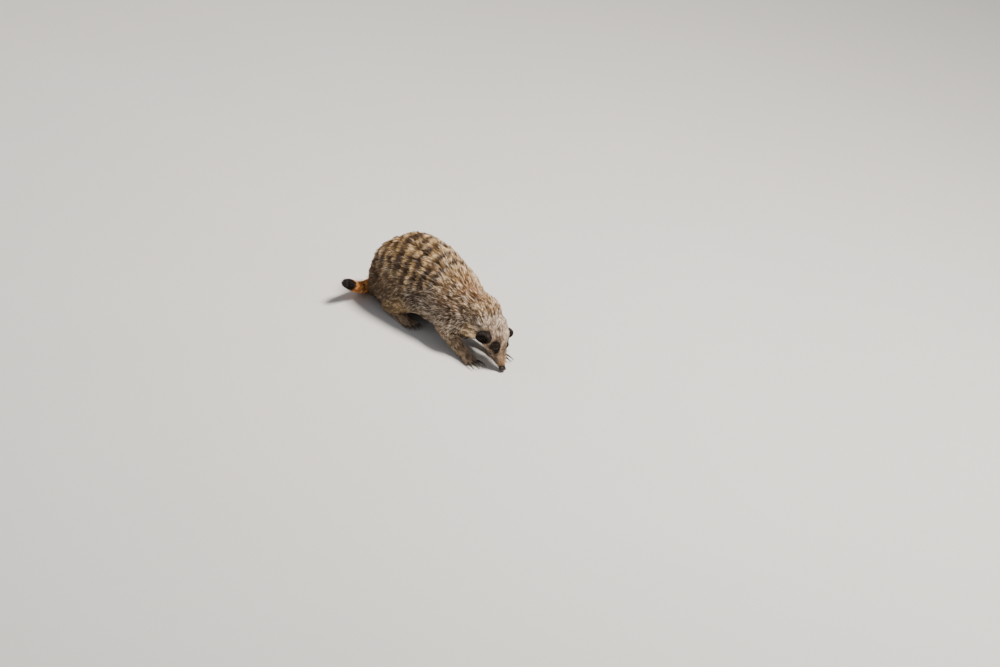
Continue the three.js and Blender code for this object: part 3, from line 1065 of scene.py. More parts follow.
class MEERKAT_OT_nose(bpy.types.Operator):
    """Shapes the nose pad with its two nostrils and the groove between them"""

    bl_idname = "meerkat.nose"
    bl_label = "Nose"

    def execute(self, context):
        pad = new_ball("nose_pad", 40, 28)
        for hand in HANDS.values():
            self.nostril(pad, hand)
            pull(pad, (0.55, 0.78 * hand, 0.30), 0.45, (0.05, 0.07 * hand, 0.05))
        pull(pad, (0.2, 0, 0.98), 0.9, (0, 0, -0.16))
        for height in (-0.75, -0.45, -0.15, 0.15, 0.45, 0.7):
            pull(pad, (math.sqrt(1 - height**2), 0, height), 0.22, (-0.13, 0, -0.02))
        subdivide(pad, 1)
        set_points(pad.data, points_of(pad.data) * PAD_HALF)
        set_in_head(pad, PAD, np.eye(3))
        close_and_turn_out(pad)
        bpy.ops.object.shade_smooth()
        material = leather_material("nose_leather", (0.026, 0.017, 0.014), 0.42, 3600.0, 0.35)
        hand_in(pad, ["nose"], material)
        return {"FINISHED"}

    def nostril(self, pad, hand):
        """Sinks a comma-shaped hole that opens forwards and out to the side."""
        place = np.array([0.82, 0.50 * hand, 0.10])
        round_the_side = np.array([0.45, 0.88 * hand, -0.04])

        def opening(at):
            inner = np.linalg.norm((at - place) / (1, 1, 0.9), axis=1) < 0.24
            slit = np.linalg.norm((at - round_the_side) / (1.9, 1.9, 0.55), axis=1) < 0.24
            return inner | slit

        pick_faces(pad, opening)
        bpy.ops.mesh.inset(thickness=0.035)
        for depth, size in ((0.16, 0.86), (0.22, 0.72)):
            bpy.ops.mesh.extrude_region_move(
                TRANSFORM_OT_translate={"value": (-depth, -0.4 * depth * hand, 0.3 * depth)}
            )
            bpy.ops.transform.resize(value=(size, size, size), center_override=tuple(place * 0.85))
        leave_edit()


class MEERKAT_OT_ears(bpy.types.Operator):
    """Shapes both ears: a low cup with a rolled rim and folds inside"""

    bl_idname = "meerkat.ears"
    bl_label = "Ears"

    def execute(self, context):
        coat = context.scene.meerkat_coat
        material = leather_material("ear_leather", (0.012, 0.008, 0.007), 0.7, 2600.0, 0.12)
        for side, hand in HANDS.items():
            ear = new_ball("ear_cup_" + side, 36, 24)
            self.hollow_out(ear)
            subdivide(ear, 1)
            own = points_of(ear.data)
            GROUNDS["ear_" + side] = self.ground(ear, own, coat)
            length, width, height = EAR_HALF
            set_points(ear.data, own[:, [0, 2, 1]] * (length, hand * width, height))
            set_in_head(ear, (EAR.x, hand * EAR.y, EAR.z), ear_turn(hand))
            close_and_turn_out(ear)
            bpy.ops.object.shade_smooth()
            hand_in(ear, ["ear_" + side], material)
        return {"FINISHED"}

    def hollow_out(self, ear):
        """Own axes: forwards, up along the ear, and outwards. The cup opens outwards."""
        pick_faces(ear, lambda at: at[:, 2] > 0.42)
        bpy.ops.mesh.inset(thickness=0.15)
        for sink, size in ((0.30, 0.90), (0.30, 0.80), (0.12, 0.7)):
            bpy.ops.mesh.extrude_region_move(TRANSFORM_OT_translate={"value": (0, 0, -sink)})
            bpy.ops.transform.resize(value=(size, size, 0.6), center_override=(0.05, -0.05, 0.1))
        leave_edit()
        pull(ear, (0.25, -0.45, 0.0), 0.4, (0.0, 0.05, 0.42))
        pull(ear, (-0.30, -0.25, 0.0), 0.35, (0.05, 0.0, 0.34))
        pull(ear, (-0.18, 0.25, 0.0), 0.3, (0.0, 0.0, 0.24))
        for turn in range(5):
            angle = math.radians(70 + 35 * turn)
            pull(ear, (0.9 * math.cos(angle), 0.9 * math.sin(angle), 0.42), 0.5, (0.03, 0, 0.10))

    def ground(self, ear, own, coat):
        """Short locks stand on the ear's back and rim, shorter and thinner inside, and run
        back and up along it."""
        inside = (np.linalg.norm(own[:, :2], axis=1) < 0.82) & (own[:, 2] < 0.75)
        inside &= own[:, 2] > -0.5
        size = np.where(inside, 0.7, 1.0)
        # The upper rim is paler, drawn towards the bands' brown: a painted highlight where the rim
        # catches the light.
        rim = smooth_step(0.25, 0.5, own[:, 2]) * smooth_step(0.2, 0.6, own[:, 1])
        marking = blend(np.tile(np.array(coat.black), (len(own), 1)), coat.band, rim * 0.35)
        return Ground(
            ear,
            {"head": np.ones(len(own))},
            length=2.4 * size,
            depth=0.55 * size,
            thickness=np.where(inside, 0.9, 1.0) * (own[:, 2] > -0.35),
            way=np.tile(np.array(HEAD_TURN @ Vector((-0.55, 0, 0.8))), (len(own), 1)),
            marking=marking,
        )


# ---- Claws --------------------------------------------------------------------------------

# Each foot: the ball's place on the left, how far its toes reach past it, and its claws' length.
FEET = {
    "hind_foot": ((2, 29), 17.0, 8.0),
    "fore_paw": ((113, 26), 12.0, 15.0),
}
TOES = 4
TOE_SPACING = 4.4
TOE_FAN = math.radians(9)
OUTER_TOE_BACK = 0.07  # share of its reach that a toe loses, times its steps off the middle squared
# Along a claw: its share of the length, its height, and half its width and thickness.
CLAW_RINGS = [
    (-0.12, 4.35, 1.15, 1.45),
    (0.10, 4.75, 1.15, 1.40),
    (0.30, 4.85, 1.05, 1.25),
    (0.50, 4.45, 0.90, 1.05),
    (0.70, 3.70, 0.70, 0.82),
    (0.87, 2.75, 0.48, 0.55),
    (0.97, 2.05, 0.28, 0.32),
]
CLAW_POINT = (0.03, -0.25)  # the last step to the point: share of the length, and fall


def horn_material():
    """Dark horn, paler at the end, streaked along the claw."""
    material, tree, shader = new_material("claw_horn")
    own = attribute(tree, "own", "Vector")
    stretched = vector_math(tree, "MULTIPLY", own, (160.0, 2600.0, 2600.0))
    streaks = texture(tree, "Noise", stretched.outputs["Vector"], Scale=1.0, Detail=4.0)
    streaks = streaks.outputs["Fac"]
    along = attribute(tree, "along")
    colour = mix(tree, along, (0.018, 0.011, 0.008, 1), (0.105, 0.070, 0.045, 1))
    shade = ramp(tree, streaks, [(0.3, 0.65), (0.7, 1.35)])
    join(tree, times(tree, colour, shade), shader.inputs["Base Color"])
    rough = ramp(tree, streaks, [(0.3, 0.30), (0.7, 0.46)])
    join(tree, rough, shader.inputs["Roughness"])
    bump(tree, shader, streaks, 0.25, 0.0002)
    return material


class MEERKAT_OT_claws(bpy.types.Operator):
    """Models one hind claw and one fore claw and sets a copy on each toe"""

    bl_idname = "meerkat.claws"
    bl_label = "Claws"

    def execute(self, context):
        material = horn_material()
        for foot, ((ahead, aside), reach, length) in FEET.items():
            model = self.model(length)
            for side, hand in HANDS.items():
                for toe in range(TOES):
                    off = toe - (TOES - 1) / 2
                    turn = Matrix.Rotation(off * TOE_FAN, 4, "Z")
                    root = Vector((ahead, hand * aside + off * TOE_SPACING, 0))
                    root += turn @ Vector((reach * (1 - OUTER_TOE_BACK * off**2), 0, 0))
                    node = "%s_%s_claw_%d" % (foot, side, toe + 1)
                    claw = new_piece(node.replace("claw", "talon"), model.data.copy())
                    claw.data.transform(Matrix.Translation(metres(root)) @ turn)
                    hand_in(claw, [node], material)
            bpy.data.objects.remove(model)
        return {"FINISHED"}

    def model(self, length):
        """One claw that points along +x: a ring drawn out along the arch to a point."""
        bpy.ops.object.select_all(action="DESELECT")
        bpy.ops.mesh.primitive_circle_add(
            vertices=12, radius=1, fill_type="NGON", rotation=(0, math.pi / 2, 0)
        )
        claw = bpy.context.object
        settle(claw)
        edit_all(claw)
        before = CLAW_RINGS[0]
        bpy.ops.transform.resize(value=(1, before[2] * MM, before[3] * MM))
        bpy.ops.transform.translate(value=(before[0] * length * MM, 0, before[1] * MM))
        for ring in CLAW_RINGS[1:]:
            step = ((ring[0] - before[0]) * length * MM, 0, (ring[1] - before[1]) * MM)
            bpy.ops.mesh.extrude_region_move(TRANSFORM_OT_translate={"value": step})
            bpy.ops.transform.resize(
                value=(1, ring[2] / before[2], ring[3] / before[3]),
                center_override=(ring[0] * length * MM, 0, ring[1] * MM),
            )
            before = ring
        forward, fall = CLAW_POINT
        bpy.ops.mesh.extrude_region_move(
            TRANSFORM_OT_translate={"value": (forward * length * MM, 0, fall * MM)}
        )
        bpy.ops.mesh.merge(type="CENTER")
        leave_edit()
        close_and_turn_out(claw)
        subdivide(claw, 2)
        bpy.ops.object.shade_smooth()
        own = points_of(claw.data)
        store_places(claw.data, "own", own)
        store_number(claw.data, "along", np.clip(own[:, 0] / (length * MM), 0, 1) ** 1.5)
        return claw


# ---- Coat ---------------------------------------------------------------------------------

# Each coat piece: the kinds of node that it grows on, the slot of its finish, whether it is
# parted into a right and a left half, and whether its locks are long with three rings.
COAT_PIECES = [
    ("coat_rump", ("rump",), "coat_back", True, True),
    ("coat_loin", ("loin",), "coat_back", True, True),
    ("coat_chest", ("chest",), "coat_flank", True, True),
    ("coat_neck", ("neck",), "coat_neck", False, True),
    ("coat_head", ("head", "muzzle", "lower_jaw"), "coat_face", False, False),
    ("coat_haunches", ("thigh", "shank"), "coat_leg", True, True),
    ("coat_forelegs", ("upper_arm", "forearm"), "coat_leg", False, False),
    ("coat_feet", ("hind_foot", "fore_paw"), "coat_paw", False, False),
    ("coat_tail", TAIL_NODES, "coat_tail", False, False),
]
LONG_RINGS = ((0.0, 0.75), (0.34, 1.0), (0.7, 0.62))  # place along a lock, and girth there
SHORT_RINGS = ((0.0, 0.8), (0.5, 0.95))
FLATNESS = 0.6  # a lock's thickness over its width
ROOT_SUNK = 0.35  # how far a lock starts under the skin
FLOOR_GAP = 0.1  # how far the lowest hairs stay off the floor
SHOWS_AT = 0.72  # the share of a lock's length where its colour shows
PATCH = 0.003  # size of a lock's patch on the skin's unwrap
CLUMP = 5  # locks that lean together
TUFT = 32  # locks in a tuft of several clumps
DROOP = 0.32  # how much a long lock hangs
CLUMP_TONE = 0.36  # the clump's share in how dark or pale a lock is
TONE_SPREAD = 1.9  # how far the locks' tones are drawn apart
# Seeds of the random draws.
SEEDS = {"coat": 7, "frost": 8, "ears": 9, "whiskers": 3}


def triangles_of(mesh):
    """The vertices and the loops of each triangle of a mesh."""
    mesh.calc_loop_triangles()
    found = []
    for part in ("vertices", "loops"):
        flat = np.empty(len(mesh.loop_triangles) * 3, np.int32)
        mesh.loop_triangles.foreach_get(part, flat)
        found.append(flat.reshape(-1, 3))
    return found


def scatter(points, triangles, thickness, count, random):
    """Random roots on the skin, more where the coat is set thicker."""
    a, b, c = (points[triangles[:, i]] for i in range(3))
    area = np.linalg.norm(np.cross(b - a, c - a), axis=1)
    weight = area * thickness[triangles].mean(axis=1)
    weight /= weight.sum()
    chosen = np.searchsorted(np.cumsum(weight), (np.arange(count) + random.random(count)) / count)
    chosen = np.minimum(chosen, len(triangles) - 1)
    first, second = np.sqrt(random.random(count)), random.random(count)
    shares = np.stack([1 - first, first * (1 - second), first * second], axis=1)
    return chosen, shares


def at_roots(values, corners, shares):
    """A value of the skin's vertices at each root, mixed from its triangle's corners."""
    picked = values[corners]
    if picked.ndim == 3:
        return (picked * shares[:, :, None]).sum(axis=1)
    return (picked * shares).sum(axis=1)


def turned(vectors, axes, angles):
    """Vectors turned about unit axes that they stand square to."""
    cos, sin = np.cos(angles)[:, None], np.sin(angles)[:, None]
    return vectors * cos + np.cross(axes, vectors) * sin


def leaders_of(roots, group, random):
    """For each lock, the nearest of the leading locks. There is one of them for each group of
    the given size, and the groups are long and narrow."""
    leaders = random.choice(len(roots), max(1, len(roots) // group), replace=False)
    stretched = roots * np.array([0.42, 1.0, 1.0])
    tree = KDTree(len(leaders))
    for i, leader in enumerate(leaders):
        tree.insert(Vector(stretched[leader]), i)
    tree.balance()
    return np.array([leaders[tree.find(Vector(p))[1]] for p in stretched])


def laid_over(piece, ends, lift):
    """Points moved to stand just the given height over the piece below them."""
    tree = BVHTree.FromObject(piece, bpy.context.evaluated_depsgraph_get())
    laid = np.empty_like(ends)
    for i, end in enumerate(ends):
        foot, normal, _, _ = tree.find_nearest(Vector(end))
        laid[i] = foot + normal * lift[i]
    return laid


def build_mesh(name, points, faces, counts):
    """A mesh from arrays: points, a flat list of corners, and how many corners each face has."""
    mesh = bpy.data.meshes.new(name)
    mesh.vertices.add(len(points))
    mesh.vertices.foreach_set("co", points.astype(np.float32).ravel())
    mesh.loops.add(len(faces))
    mesh.loops.foreach_set("vertex_index", faces.astype(np.int32))
    mesh.polygons.add(len(counts))
    starts = np.concatenate([[0], np.cumsum(counts)[:-1]])
    mesh.polygons.foreach_set("loop_start", starts.astype(np.int32))
    mesh.polygons.foreach_set("loop_total", counts.astype(np.int32))
    mesh.polygons.foreach_set("use_smooth", np.ones(len(counts), bool))
    mesh.update(calc_edges=True)
    return mesh


def strand_pattern(rings):
    """Corners of one closed three-sided strand, as quads along it, a cap and a point."""
    quads = []
    for ring in range(rings - 1):
        for side in range(3):
            a = ring * 3 + side
            b = ring * 3 + (side + 1) % 3
            quads.append((a, b, b + 3, a + 3))
    last = (rings - 1) * 3
    triangles = [(last + side, last + (side + 1) % 3, last + 3) for side in range(3)]
    triangles.append((2, 1, 0))
    return np.array(quads), np.array(triangles)


def strand_mesh(name, middles, girths, tips, across, up, width, flatness):
    """Many closed strands as one mesh. Returns it with its corners and points for each strand."""
    rings = len(middles)
    quads, triangles = strand_pattern(rings)
    each = rings * 3 + 1
    count = len(tips)
    points = np.empty((count, each, 3))
    for ring, (middle, girth) in enumerate(zip(middles, girths)):
        half = (0.5 * girth * width)[:, None]
        for side, angle in enumerate((90, 210, 330)):
            turn = math.radians(angle)
            out = across * math.cos(turn) + up * math.sin(turn) * flatness
            points[:, ring * 3 + side] = middle + out * half
    points[:, -1] = tips
    points[:, 3:, 2] = np.maximum(points[:, 3:, 2], FLOOR_GAP * MM)
    first = (np.arange(count) * each)[:, None, None]
    corners = np.concatenate([(quads[None] + first).ravel(), (triangles[None] + first).ravel()])
    counts = np.concatenate([np.full(count * len(quads), 4), np.full(count * len(triangles), 3)])
    return build_mesh(name, points.reshape(-1, 3), corners, counts), corners, each


class Locks:
    """All locks on one ground as arrays, before they are parted into pieces."""

    def __init__(self, ground, count, coat, seed):
        random = np.random.default_rng(seed)
        mesh = ground.piece.data
        points = points_of(mesh)
        values = ground.values
        triangles, loops = triangles_of(mesh)
        chosen, shares = scatter(points, triangles, values["thickness"], count, random)
        corners = triangles[chosen]
        self.count = count
        self.root = at_roots(points, corners, shares)
        self.up = unit(at_roots(normals_of(mesh), corners, shares))
        self.length = at_roots(values["length"], corners, shares)
        self.depth = at_roots(values["depth"], corners, shares)
        self.uv = self.unwrap_places(mesh, loops[chosen], shares)
        self.kinds = {n: at_roots(w, corners, shares) for n, w in ground.kinds.items()}
        names = list(self.kinds)
        self.kind = np.array(names)[np.stack([self.kinds[n] for n in names]).argmax(axis=0)]
        self.chance = random.random(count)
        self.lay(ground, at_roots(values["way"], corners, shares), coat, random)
        self.marking = at_roots(values["marking"], corners, shares)

    def unwrap_places(self, mesh, loops, shares):
        """Each root's place on the skin's unwrap."""
        flat = np.empty(len(mesh.loops) * 2, np.float32)
        mesh.uv_layers["OFBake"].uv.foreach_get("vector", flat)
        return at_roots(flat.reshape(-1, 2), loops, shares)

    def uneven(self, random):
        """A share for each lock round 1, from three quarters to five quarters."""
        return 0.75 + 0.5 * random.random(self.count)

    def lay(self, ground, way, coat, random):
        """Turns each lock along the coat's lie, lifts its tip and leans it with its neighbours."""
        self.turn_along(way, random)
        long = smooth_step(3.5, 12.0, self.length)
        clump = leaders_of(self.root, CLUMP, random)
        tuft = leaders_of(self.root, TUFT, random)
        size = self.length * self.uneven(random) * MM
        standing = smooth_step(0.6, 0.95, (way * self.up).sum(axis=1))
        along_tail, _ = along_line(TAIL, millimetres(self.root))
        standing *= along_tail > TAIL_END - STANDING_END

        # The tuft's chance lifts its locks here and pales them below, so lower tufts are darker:
        # painted shade in the dips.
        swell = self.chance[tuft] * long
        lift = 0.86 - 0.22 * long + 0.50 * swell + 0.24 * random.random(self.count)
        lift = np.minimum(self.depth * lift * MM, 0.8 * size)
        self.lift = lift * (1 - standing) + 0.85 * size * standing
        flat = np.sqrt(np.maximum(size**2 - self.lift**2, (0.3 * size) ** 2))
        self.flat = flat * (1 - standing)

        self.lean(ground, size, long, clump, tuft, standing)
        # Tones: mostly random, with the tuft's share as painted shade that follows its lift.
        shared = 0.12 + 0.26 * (1 - long)
        mixed = shared * self.chance[tuft] + CLUMP_TONE * self.chance[clump]
        mixed += (1 - CLUMP_TONE - shared) * self.chance
        self.chance = np.clip(0.5 + (mixed - 0.5) * TONE_SPREAD, 0, 1)
        thin = 0.38 + 0.62 * smooth_step(2.0, 13.0, self.length)
        self.width = coat.width * thin * self.uneven(random)

    def turn_along(self, way, random):
        """The way of each lock over the skin: the coat's lie, hanging a little and swirled."""
        hang = DROOP * smooth_step(4, 12, self.length)
        along = way - hang[:, None] * np.array([0.0, 0.0, 1.0])
        along = unit(along - (along * self.up).sum(axis=1, keepdims=True) * self.up)
        places = millimetres(self.root)
        swirl = 0.50 * noise_at(places, 18, 11) + 0.3 * noise_at(places, 7, 12)
        swirl += 0.15 * random.standard_normal(self.count)
        self.along = turned(along, self.up, swirl)
        self.across = unit(np.cross(self.up, self.along))

    def lean(self, ground, size, long, clump, tuft, standing):
        """Bends the locks over the skin below them and draws their tips towards those of the
        leading locks, and at the tail's end towards its point."""
        ends = self.root + self.along * self.flat[:, None] + self.up * self.lift[:, None]
        laid = laid_over(ground.piece, ends, self.lift)
        self.bend = shortened(laid - ends, 0.6 * size)
        near_tips = (laid[clump] - laid) * (0.40 * long * (0.4 + 0.6 * self.chance))[:, None]
        far_tips = (laid[tuft] - laid) * (0.16 * long)[:, None]
        self.pull = shortened(near_tips + far_tips, 0.5 * size)
        self.pull += (np.array(metres(TAIL[-1])) - laid) * (0.6 * standing)[:, None]

    def middle(self, share):
        """Points of the locks at one share of their length."""
        rise = 1 - (1 - share) ** 1.9
        along = self.along * (self.flat * share)[:, None]
        up = self.up * (self.lift * rise - ROOT_SUNK * MM * (share == 0))[:, None]
        return self.root + along + up + self.bend * share**1.8 + self.pull * share**1.6

    def paint(self, coat, random):
        """Colours each lock by the place where it shows, and frosts the tips of some."""
        self.marking = markings(millimetres(self.middle(SHOWS_AT)), self.kinds, coat)
        from_nose, _ = along_line(SPINE, millimetres(self.root))
        limit = 1.16 - 0.19 * smooth_step(235, 120, from_nose)
        luck = self.chance + 0.25 * random.random(self.count)
        tone = self.marking.mean(axis=1)
        frost = 0.55 * smooth_step(limit, limit + 0.1, luck)
        frost *= smooth_step(3, 8, self.length) * smooth_step(0.04, 0.085, tone)
        self.marking = blend(self.marking, coat.frost, frost)
        self.chance = 0.5 + (self.chance - 0.5) * (0.5 + 0.5 * smooth_step(0.03, 0.12, tone))

    def piece(self, name, chosen, rings):
        """One mesh of the chosen locks."""
        shares, girths = zip(*rings)
        mesh, corners, each = strand_mesh(
            name,
            [self.middle(share)[chosen] for share in shares],
            girths,
            self.middle(1.0)[chosen],
            self.across[chosen],
            self.up[chosen],
            self.width[chosen],
            FLATNESS,
        )
        tip = np.append(np.repeat(shares, 3), 1.0)
        side = np.append(np.tile([-0.5, 0.0, 0.5], len(rings)), 0.0)
        # How far the painted shade at the root reaches in: little on short coats.
        depth = 0.30 + 0.70 * smooth_step(4, 13, self.length[chosen])[:, None]
        store_number(mesh, "tip", (1 - (1 - tip[None]) * depth).ravel())
        store_colour(mesh, "marking", np.repeat(self.marking[chosen], each, axis=0))
        store_number(mesh, "chance", np.repeat(self.chance[chosen], each))
        places = np.stack([side, tip - 0.5], axis=1)
        uv = (self.uv[chosen][:, None, :] + places[None] * PATCH).reshape(-1, 2)[corners]
        layer = mesh.uv_layers.new(name="OFBake")
        layer.uv.foreach_set("vector", uv.astype(np.float32).ravel())
        return mesh


class MEERKAT_OT_unwrap(bpy.types.Operator):
    """Unwraps the skin and the ears, so that each lock has its place on them"""

    bl_idname = "meerkat.unwrap"
    bl_label = "Unwrap"

    def execute(self, context):
        for ground in GROUNDS.values():
            layers = ground.piece.data.uv_layers
            while layers:
                layers.remove(layers[0])
            layers.new(name="OFBake")
            edit_all(ground.piece)
            bpy.ops.uv.smart_project(angle_limit=math.radians(70), island_margin=0.002)
            leave_edit()
        return {"FINISHED"}


class MEERKAT_OT_coat(bpy.types.Operator):
    """Grows the coat in locks, parted into pieces by the body's regions"""

    bl_idname = "meerkat.coat"
    bl_label = "Coat"

    def execute(self, context):
        coat = context.scene.meerkat_coat
        material = coat_material()
        locks = Locks(GROUNDS["skin"], coat.locks, coat, SEEDS["coat"])
        locks.paint(coat, np.random.default_rng(SEEDS["frost"]))
        on_left = millimetres(locks.root)[:, 1] > 0
        for name, kinds, slot, parted, long in COAT_PIECES:
            chosen = np.isin(locks.kind, kinds)
            rings = LONG_RINGS if long else SHORT_RINGS
            halves = {"_right": chosen & ~on_left, "_left": chosen & on_left}
            for side, part in halves.items() if parted else {"": chosen}.items():
                mesh = locks.piece(name + side, np.flatnonzero(part), rings)
                hand_in(new_piece(mesh.name, mesh), (), material)
        for side in HANDS:
            fringe = Locks(GROUNDS["ear_" + side], coat.ear_locks, coat, SEEDS["ears"])
            mesh = fringe.piece("coat_ear_" + side, np.arange(fringe.count), SHORT_RINGS)
            hand_in(new_piece(mesh.name, mesh), (), material)
        return {"FINISHED"}


# ---- Whiskers -----------------------------------------------------------------------------

WHISKER_WIDTH = 0.26
WHISKER_RINGS = ((0.0, 1.0), (0.25, 0.85), (0.5, 0.65), (0.75, 0.4))
WHISKER_DROOP = (-0.25, 0, -0.3)  # how far a whisker's tip hangs, in its own lengths
MUZZLE_ROWS = 4
MUZZLE_COLUMNS = 5


def whisker_material():
    """Dark hair, each whisker a little different."""
    material, tree, shader = new_material("whisker")
    dark, pale = (0.020, 0.014, 0.011, 1), (0.120, 0.085, 0.060, 1)
    colour = mix(tree, attribute(tree, "chance"), dark, pale)
    join(tree, colour, shader.inputs["Base Color"])
    set_sockets(shader, Roughness=0.35)
    return material


class MEERKAT_OT_whiskers(bpy.types.Operator):
    """Sets the whiskers in rows on the muzzle, and a few over the eyes and on the cheeks"""

    bl_idname = "meerkat.whiskers"
    bl_label = "Whiskers"

    def execute(self, context):
        random = np.random.default_rng(SEEDS["whiskers"])
        skin = GROUNDS["skin"].piece
        tree = BVHTree.FromObject(skin, context.evaluated_depsgraph_get())
        roots, ways, sizes = [], [], []
        for hand in HANDS.values():
            for place, way, size in self.places(hand, random):
                root, _, _, _ = tree.find_nearest(metres(from_head(*place)))
                roots.append(root)
                ways.append((HEAD_TURN @ Vector(way)).normalized())
                sizes.append(size * MM)
        roots, ways = np.array(roots), np.array(ways)
        sizes = np.array(sizes)[:, None]
        droop = np.array(WHISKER_DROOP)

        def middle(share):
            return roots + (ways * share + droop * share**2.2) * sizes

        shares, girths = zip(*WHISKER_RINGS)
        across = unit(np.cross(ways, [0.0, 0.0, 1.0]))
        mesh, _, each = strand_mesh(
            "whiskers",
            [middle(share) for share in shares],
            girths,
            middle(1.0),
            across,
            unit(np.cross(ways, across)),
            np.full(len(roots), WHISKER_WIDTH * MM),
            1.0,
        )
        store_number(mesh, "chance", np.repeat(random.random(len(roots)), each))
        hand_in(new_piece("whiskers", mesh), (), whisker_material())
        return {"FINISHED"}

    def places(self, hand, random):
        """Place on the head, way and length of each whisker on one side."""
        found = []
        for row in range(MUZZLE_ROWS):
            for column in range(MUZZLE_COLUMNS):
                spread = 0.08 * random.standard_normal(3)
                place = (-4.2 - 2.3 * column - 0.5 * (row % 2), hand * 9, -1.6 + 1.3 * row)
                way = np.array([-0.25 - 0.12 * column, hand, -0.15 + 0.22 * row]) + spread
                found.append((place, way, (8 + 2.9 * column) * (0.85 + 0.3 * random.random())))
        for step in range(3):
            over_eye = (EYE.x + 5 - 2.4 * step, hand * (EYE.y - 4.5), EYE.z + 12)
            found.append((over_eye, (-0.35 - 0.2 * step, 0.55 * hand, 0.9), 9.0 + 2 * step))
        for step in range(2):
            on_cheek = (-24 - 5 * step, hand * 22, -5)
            found.append((on_cheek, (-0.6, hand, -0.2), 9.0 + 2 * step))
        return found


# ---- Stage --------------------------------------------------------------------------------

# The camera looks from the animal's right and front, a little from above, turned about its
# own line of sight. It is set by where one point of the floor falls in the picture.
PICTURE = (1000, 667)
VIEW_TURN = math.radians(37)  # how far the nose is turned towards the camera
VIEW_RISE = math.radians(24)
VIEW_ROLL = math.radians(15)
VIEW_AWAY = 5.0
PIXELS_PER_METRE = 780.0  # at that distance
SENSOR = 36.0  # millimetres
SEEN_POINT = (0.0, -25.0, 0.0)
SEEN_AT = (405.0, 322.0)
VIEW_END = 30.0  # metres

# Metres from the middle of the floor. Each light: its place, its size and its colour.
FLOOR_SIZE = 14.0
LIGHTS = {
    "key": ((0.66, 0.6, 2.2), 0.8, (1.0, 0.95, 0.88)),
    "fill": ((-0.6, -2.2, 1.3), 2.2, (0.92, 0.96, 1.0)),
}
LIGHT_AIM = (0, 0, 0.04)
ROOM_COLOUR = (0.86, 0.9, 1.0, 1)
ROOM_LIGHT = 0.33


def camera_axes():
    """Right, up and back of the camera as unit vectors."""
    level = Vector((math.cos(VIEW_TURN), math.sin(VIEW_TURN), 0))
    towards = Vector((math.sin(VIEW_TURN), -math.cos(VIEW_TURN), 0))
    high = Vector((0, 0, 1))
    back = towards * math.cos(VIEW_RISE) + high * math.sin(VIEW_RISE)
    upright = high * math.cos(VIEW_RISE) - towards * math.sin(VIEW_RISE)
    right = level * math.cos(VIEW_ROLL) + upright * math.sin(VIEW_ROLL)
    up = upright * math.cos(VIEW_ROLL) - level * math.sin(VIEW_ROLL)
    return right, up, back


def add_camera(context):
    """Puts the camera where the floor's point falls at its place in the picture."""
    right, up, back = camera_axes()
    over = (SEEN_AT[0] - PICTURE[0] / 2) / PIXELS_PER_METRE
    under = (SEEN_AT[1] - PICTURE[1] / 2) / PIXELS_PER_METRE
    place = metres(SEEN_POINT) - right * over + up * under + back * VIEW_AWAY
    bpy.ops.object.camera_add()
    camera = context.object
    camera.name = "camera"
    turn = Matrix((right, up, back)).transposed().to_4x4()
    camera.matrix_world = Matrix.Translation(place) @ turn
    camera.data.sensor_width = SENSOR
    camera.data.lens = PIXELS_PER_METRE * VIEW_AWAY / PICTURE[0] * SENSOR
    camera.data.clip_end = VIEW_END
    context.scene.camera = camera


def floor_material(colour):
    """Plain and dull, with faint soft clouds."""
    material, tree, shader = new_material("floor")
    clouds = texture(tree, "Noise", Scale=3.0, Detail=3.0)
    shade = ramp(tree, clouds.outputs["Fac"], [(0.3, 0.97), (0.7, 1.0)])
    join(tree, times(tree, (*colour, 1), shade), shader.inputs["Base Color"])
    set_sockets(shader, Roughness=0.85)
    return material


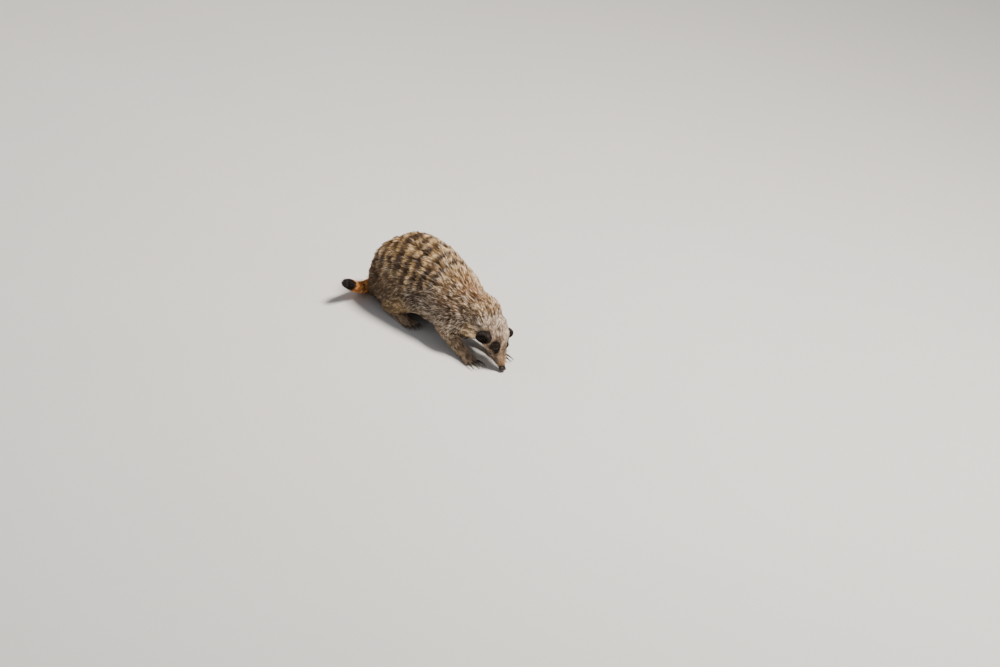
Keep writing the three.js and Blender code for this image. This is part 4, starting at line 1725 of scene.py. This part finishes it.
class MEERKAT_OT_stage(bpy.types.Operator):
    """Sets the floor, the lights and the camera"""

    bl_idname = "meerkat.stage"
    bl_label = "Stage"

    def execute(self, context):
        stage = context.scene.meerkat_stage
        bpy.ops.object.select_all(action="DESELECT")
        bpy.ops.mesh.primitive_plane_add(size=FLOOR_SIZE, location=(0, 0, 0))
        floor = context.object
        floor.name = "floor"
        floor.data.materials.append(floor_material(stage.floor))
        for name, (place, size, colour) in LIGHTS.items():
            self.add_light(context, name, place, size, getattr(stage, name), colour)
        room = bpy.data.worlds.new("studio")
        room.use_nodes = True
        set_sockets(room.node_tree.nodes["Background"], Color=ROOM_COLOUR, Strength=ROOM_LIGHT)
        context.scene.world = room
        add_camera(context)
        return {"FINISHED"}

    def add_light(self, context, name, place, size, power, colour):
        bpy.ops.object.light_add(type="AREA", location=place)
        light = context.object
        light.name = name
        light.data.shape = "DISK"
        light.data.size = size
        light.data.energy = power
        light.data.color = colour
        aim = Vector(LIGHT_AIM) - Vector(place)
        light.rotation_euler = aim.to_track_quat("-Z", "Y").to_euler()


# ---- Panel and running --------------------------------------------------------------------

STEPS = ["stage", "skin", "eyes", "nose", "ears", "claws", "unwrap", "coat", "whiskers"]


class MEERKAT_PT_panel(bpy.types.Panel):
    """Lists the pieces in the order they are made, and the settings"""

    bl_idname = "MEERKAT_PT_panel"
    bl_label = "Meerkat"
    bl_space_type = "VIEW_3D"
    bl_region_type = "UI"
    bl_category = "Meerkat"

    def draw(self, context):
        for step in STEPS:
            self.layout.operator("meerkat." + step)
        for group in (context.scene.meerkat_coat, context.scene.meerkat_stage):
            box = self.layout.box()
            for name in group.__annotations__:
                box.prop(group, name)


CLASSES = (
    CoatSettings,
    StageSettings,
    MEERKAT_OT_stage,
    MEERKAT_OT_skin,
    MEERKAT_OT_eyes,
    MEERKAT_OT_nose,
    MEERKAT_OT_ears,
    MEERKAT_OT_claws,
    MEERKAT_OT_unwrap,
    MEERKAT_OT_coat,
    MEERKAT_OT_whiskers,
    MEERKAT_PT_panel,
)


def register():
    for one in CLASSES:
        bpy.utils.register_class(one)
    bpy.types.Scene.meerkat_coat = bpy.props.PointerProperty(type=CoatSettings)
    bpy.types.Scene.meerkat_stage = bpy.props.PointerProperty(type=StageSettings)


def unregister():
    del bpy.types.Scene.meerkat_stage
    del bpy.types.Scene.meerkat_coat
    for one in reversed(CLASSES):
        bpy.utils.unregister_class(one)


def main():
    register()
    for step in STEPS:
        getattr(bpy.ops.meerkat, step)()


if __name__ == "__main__":
    main()
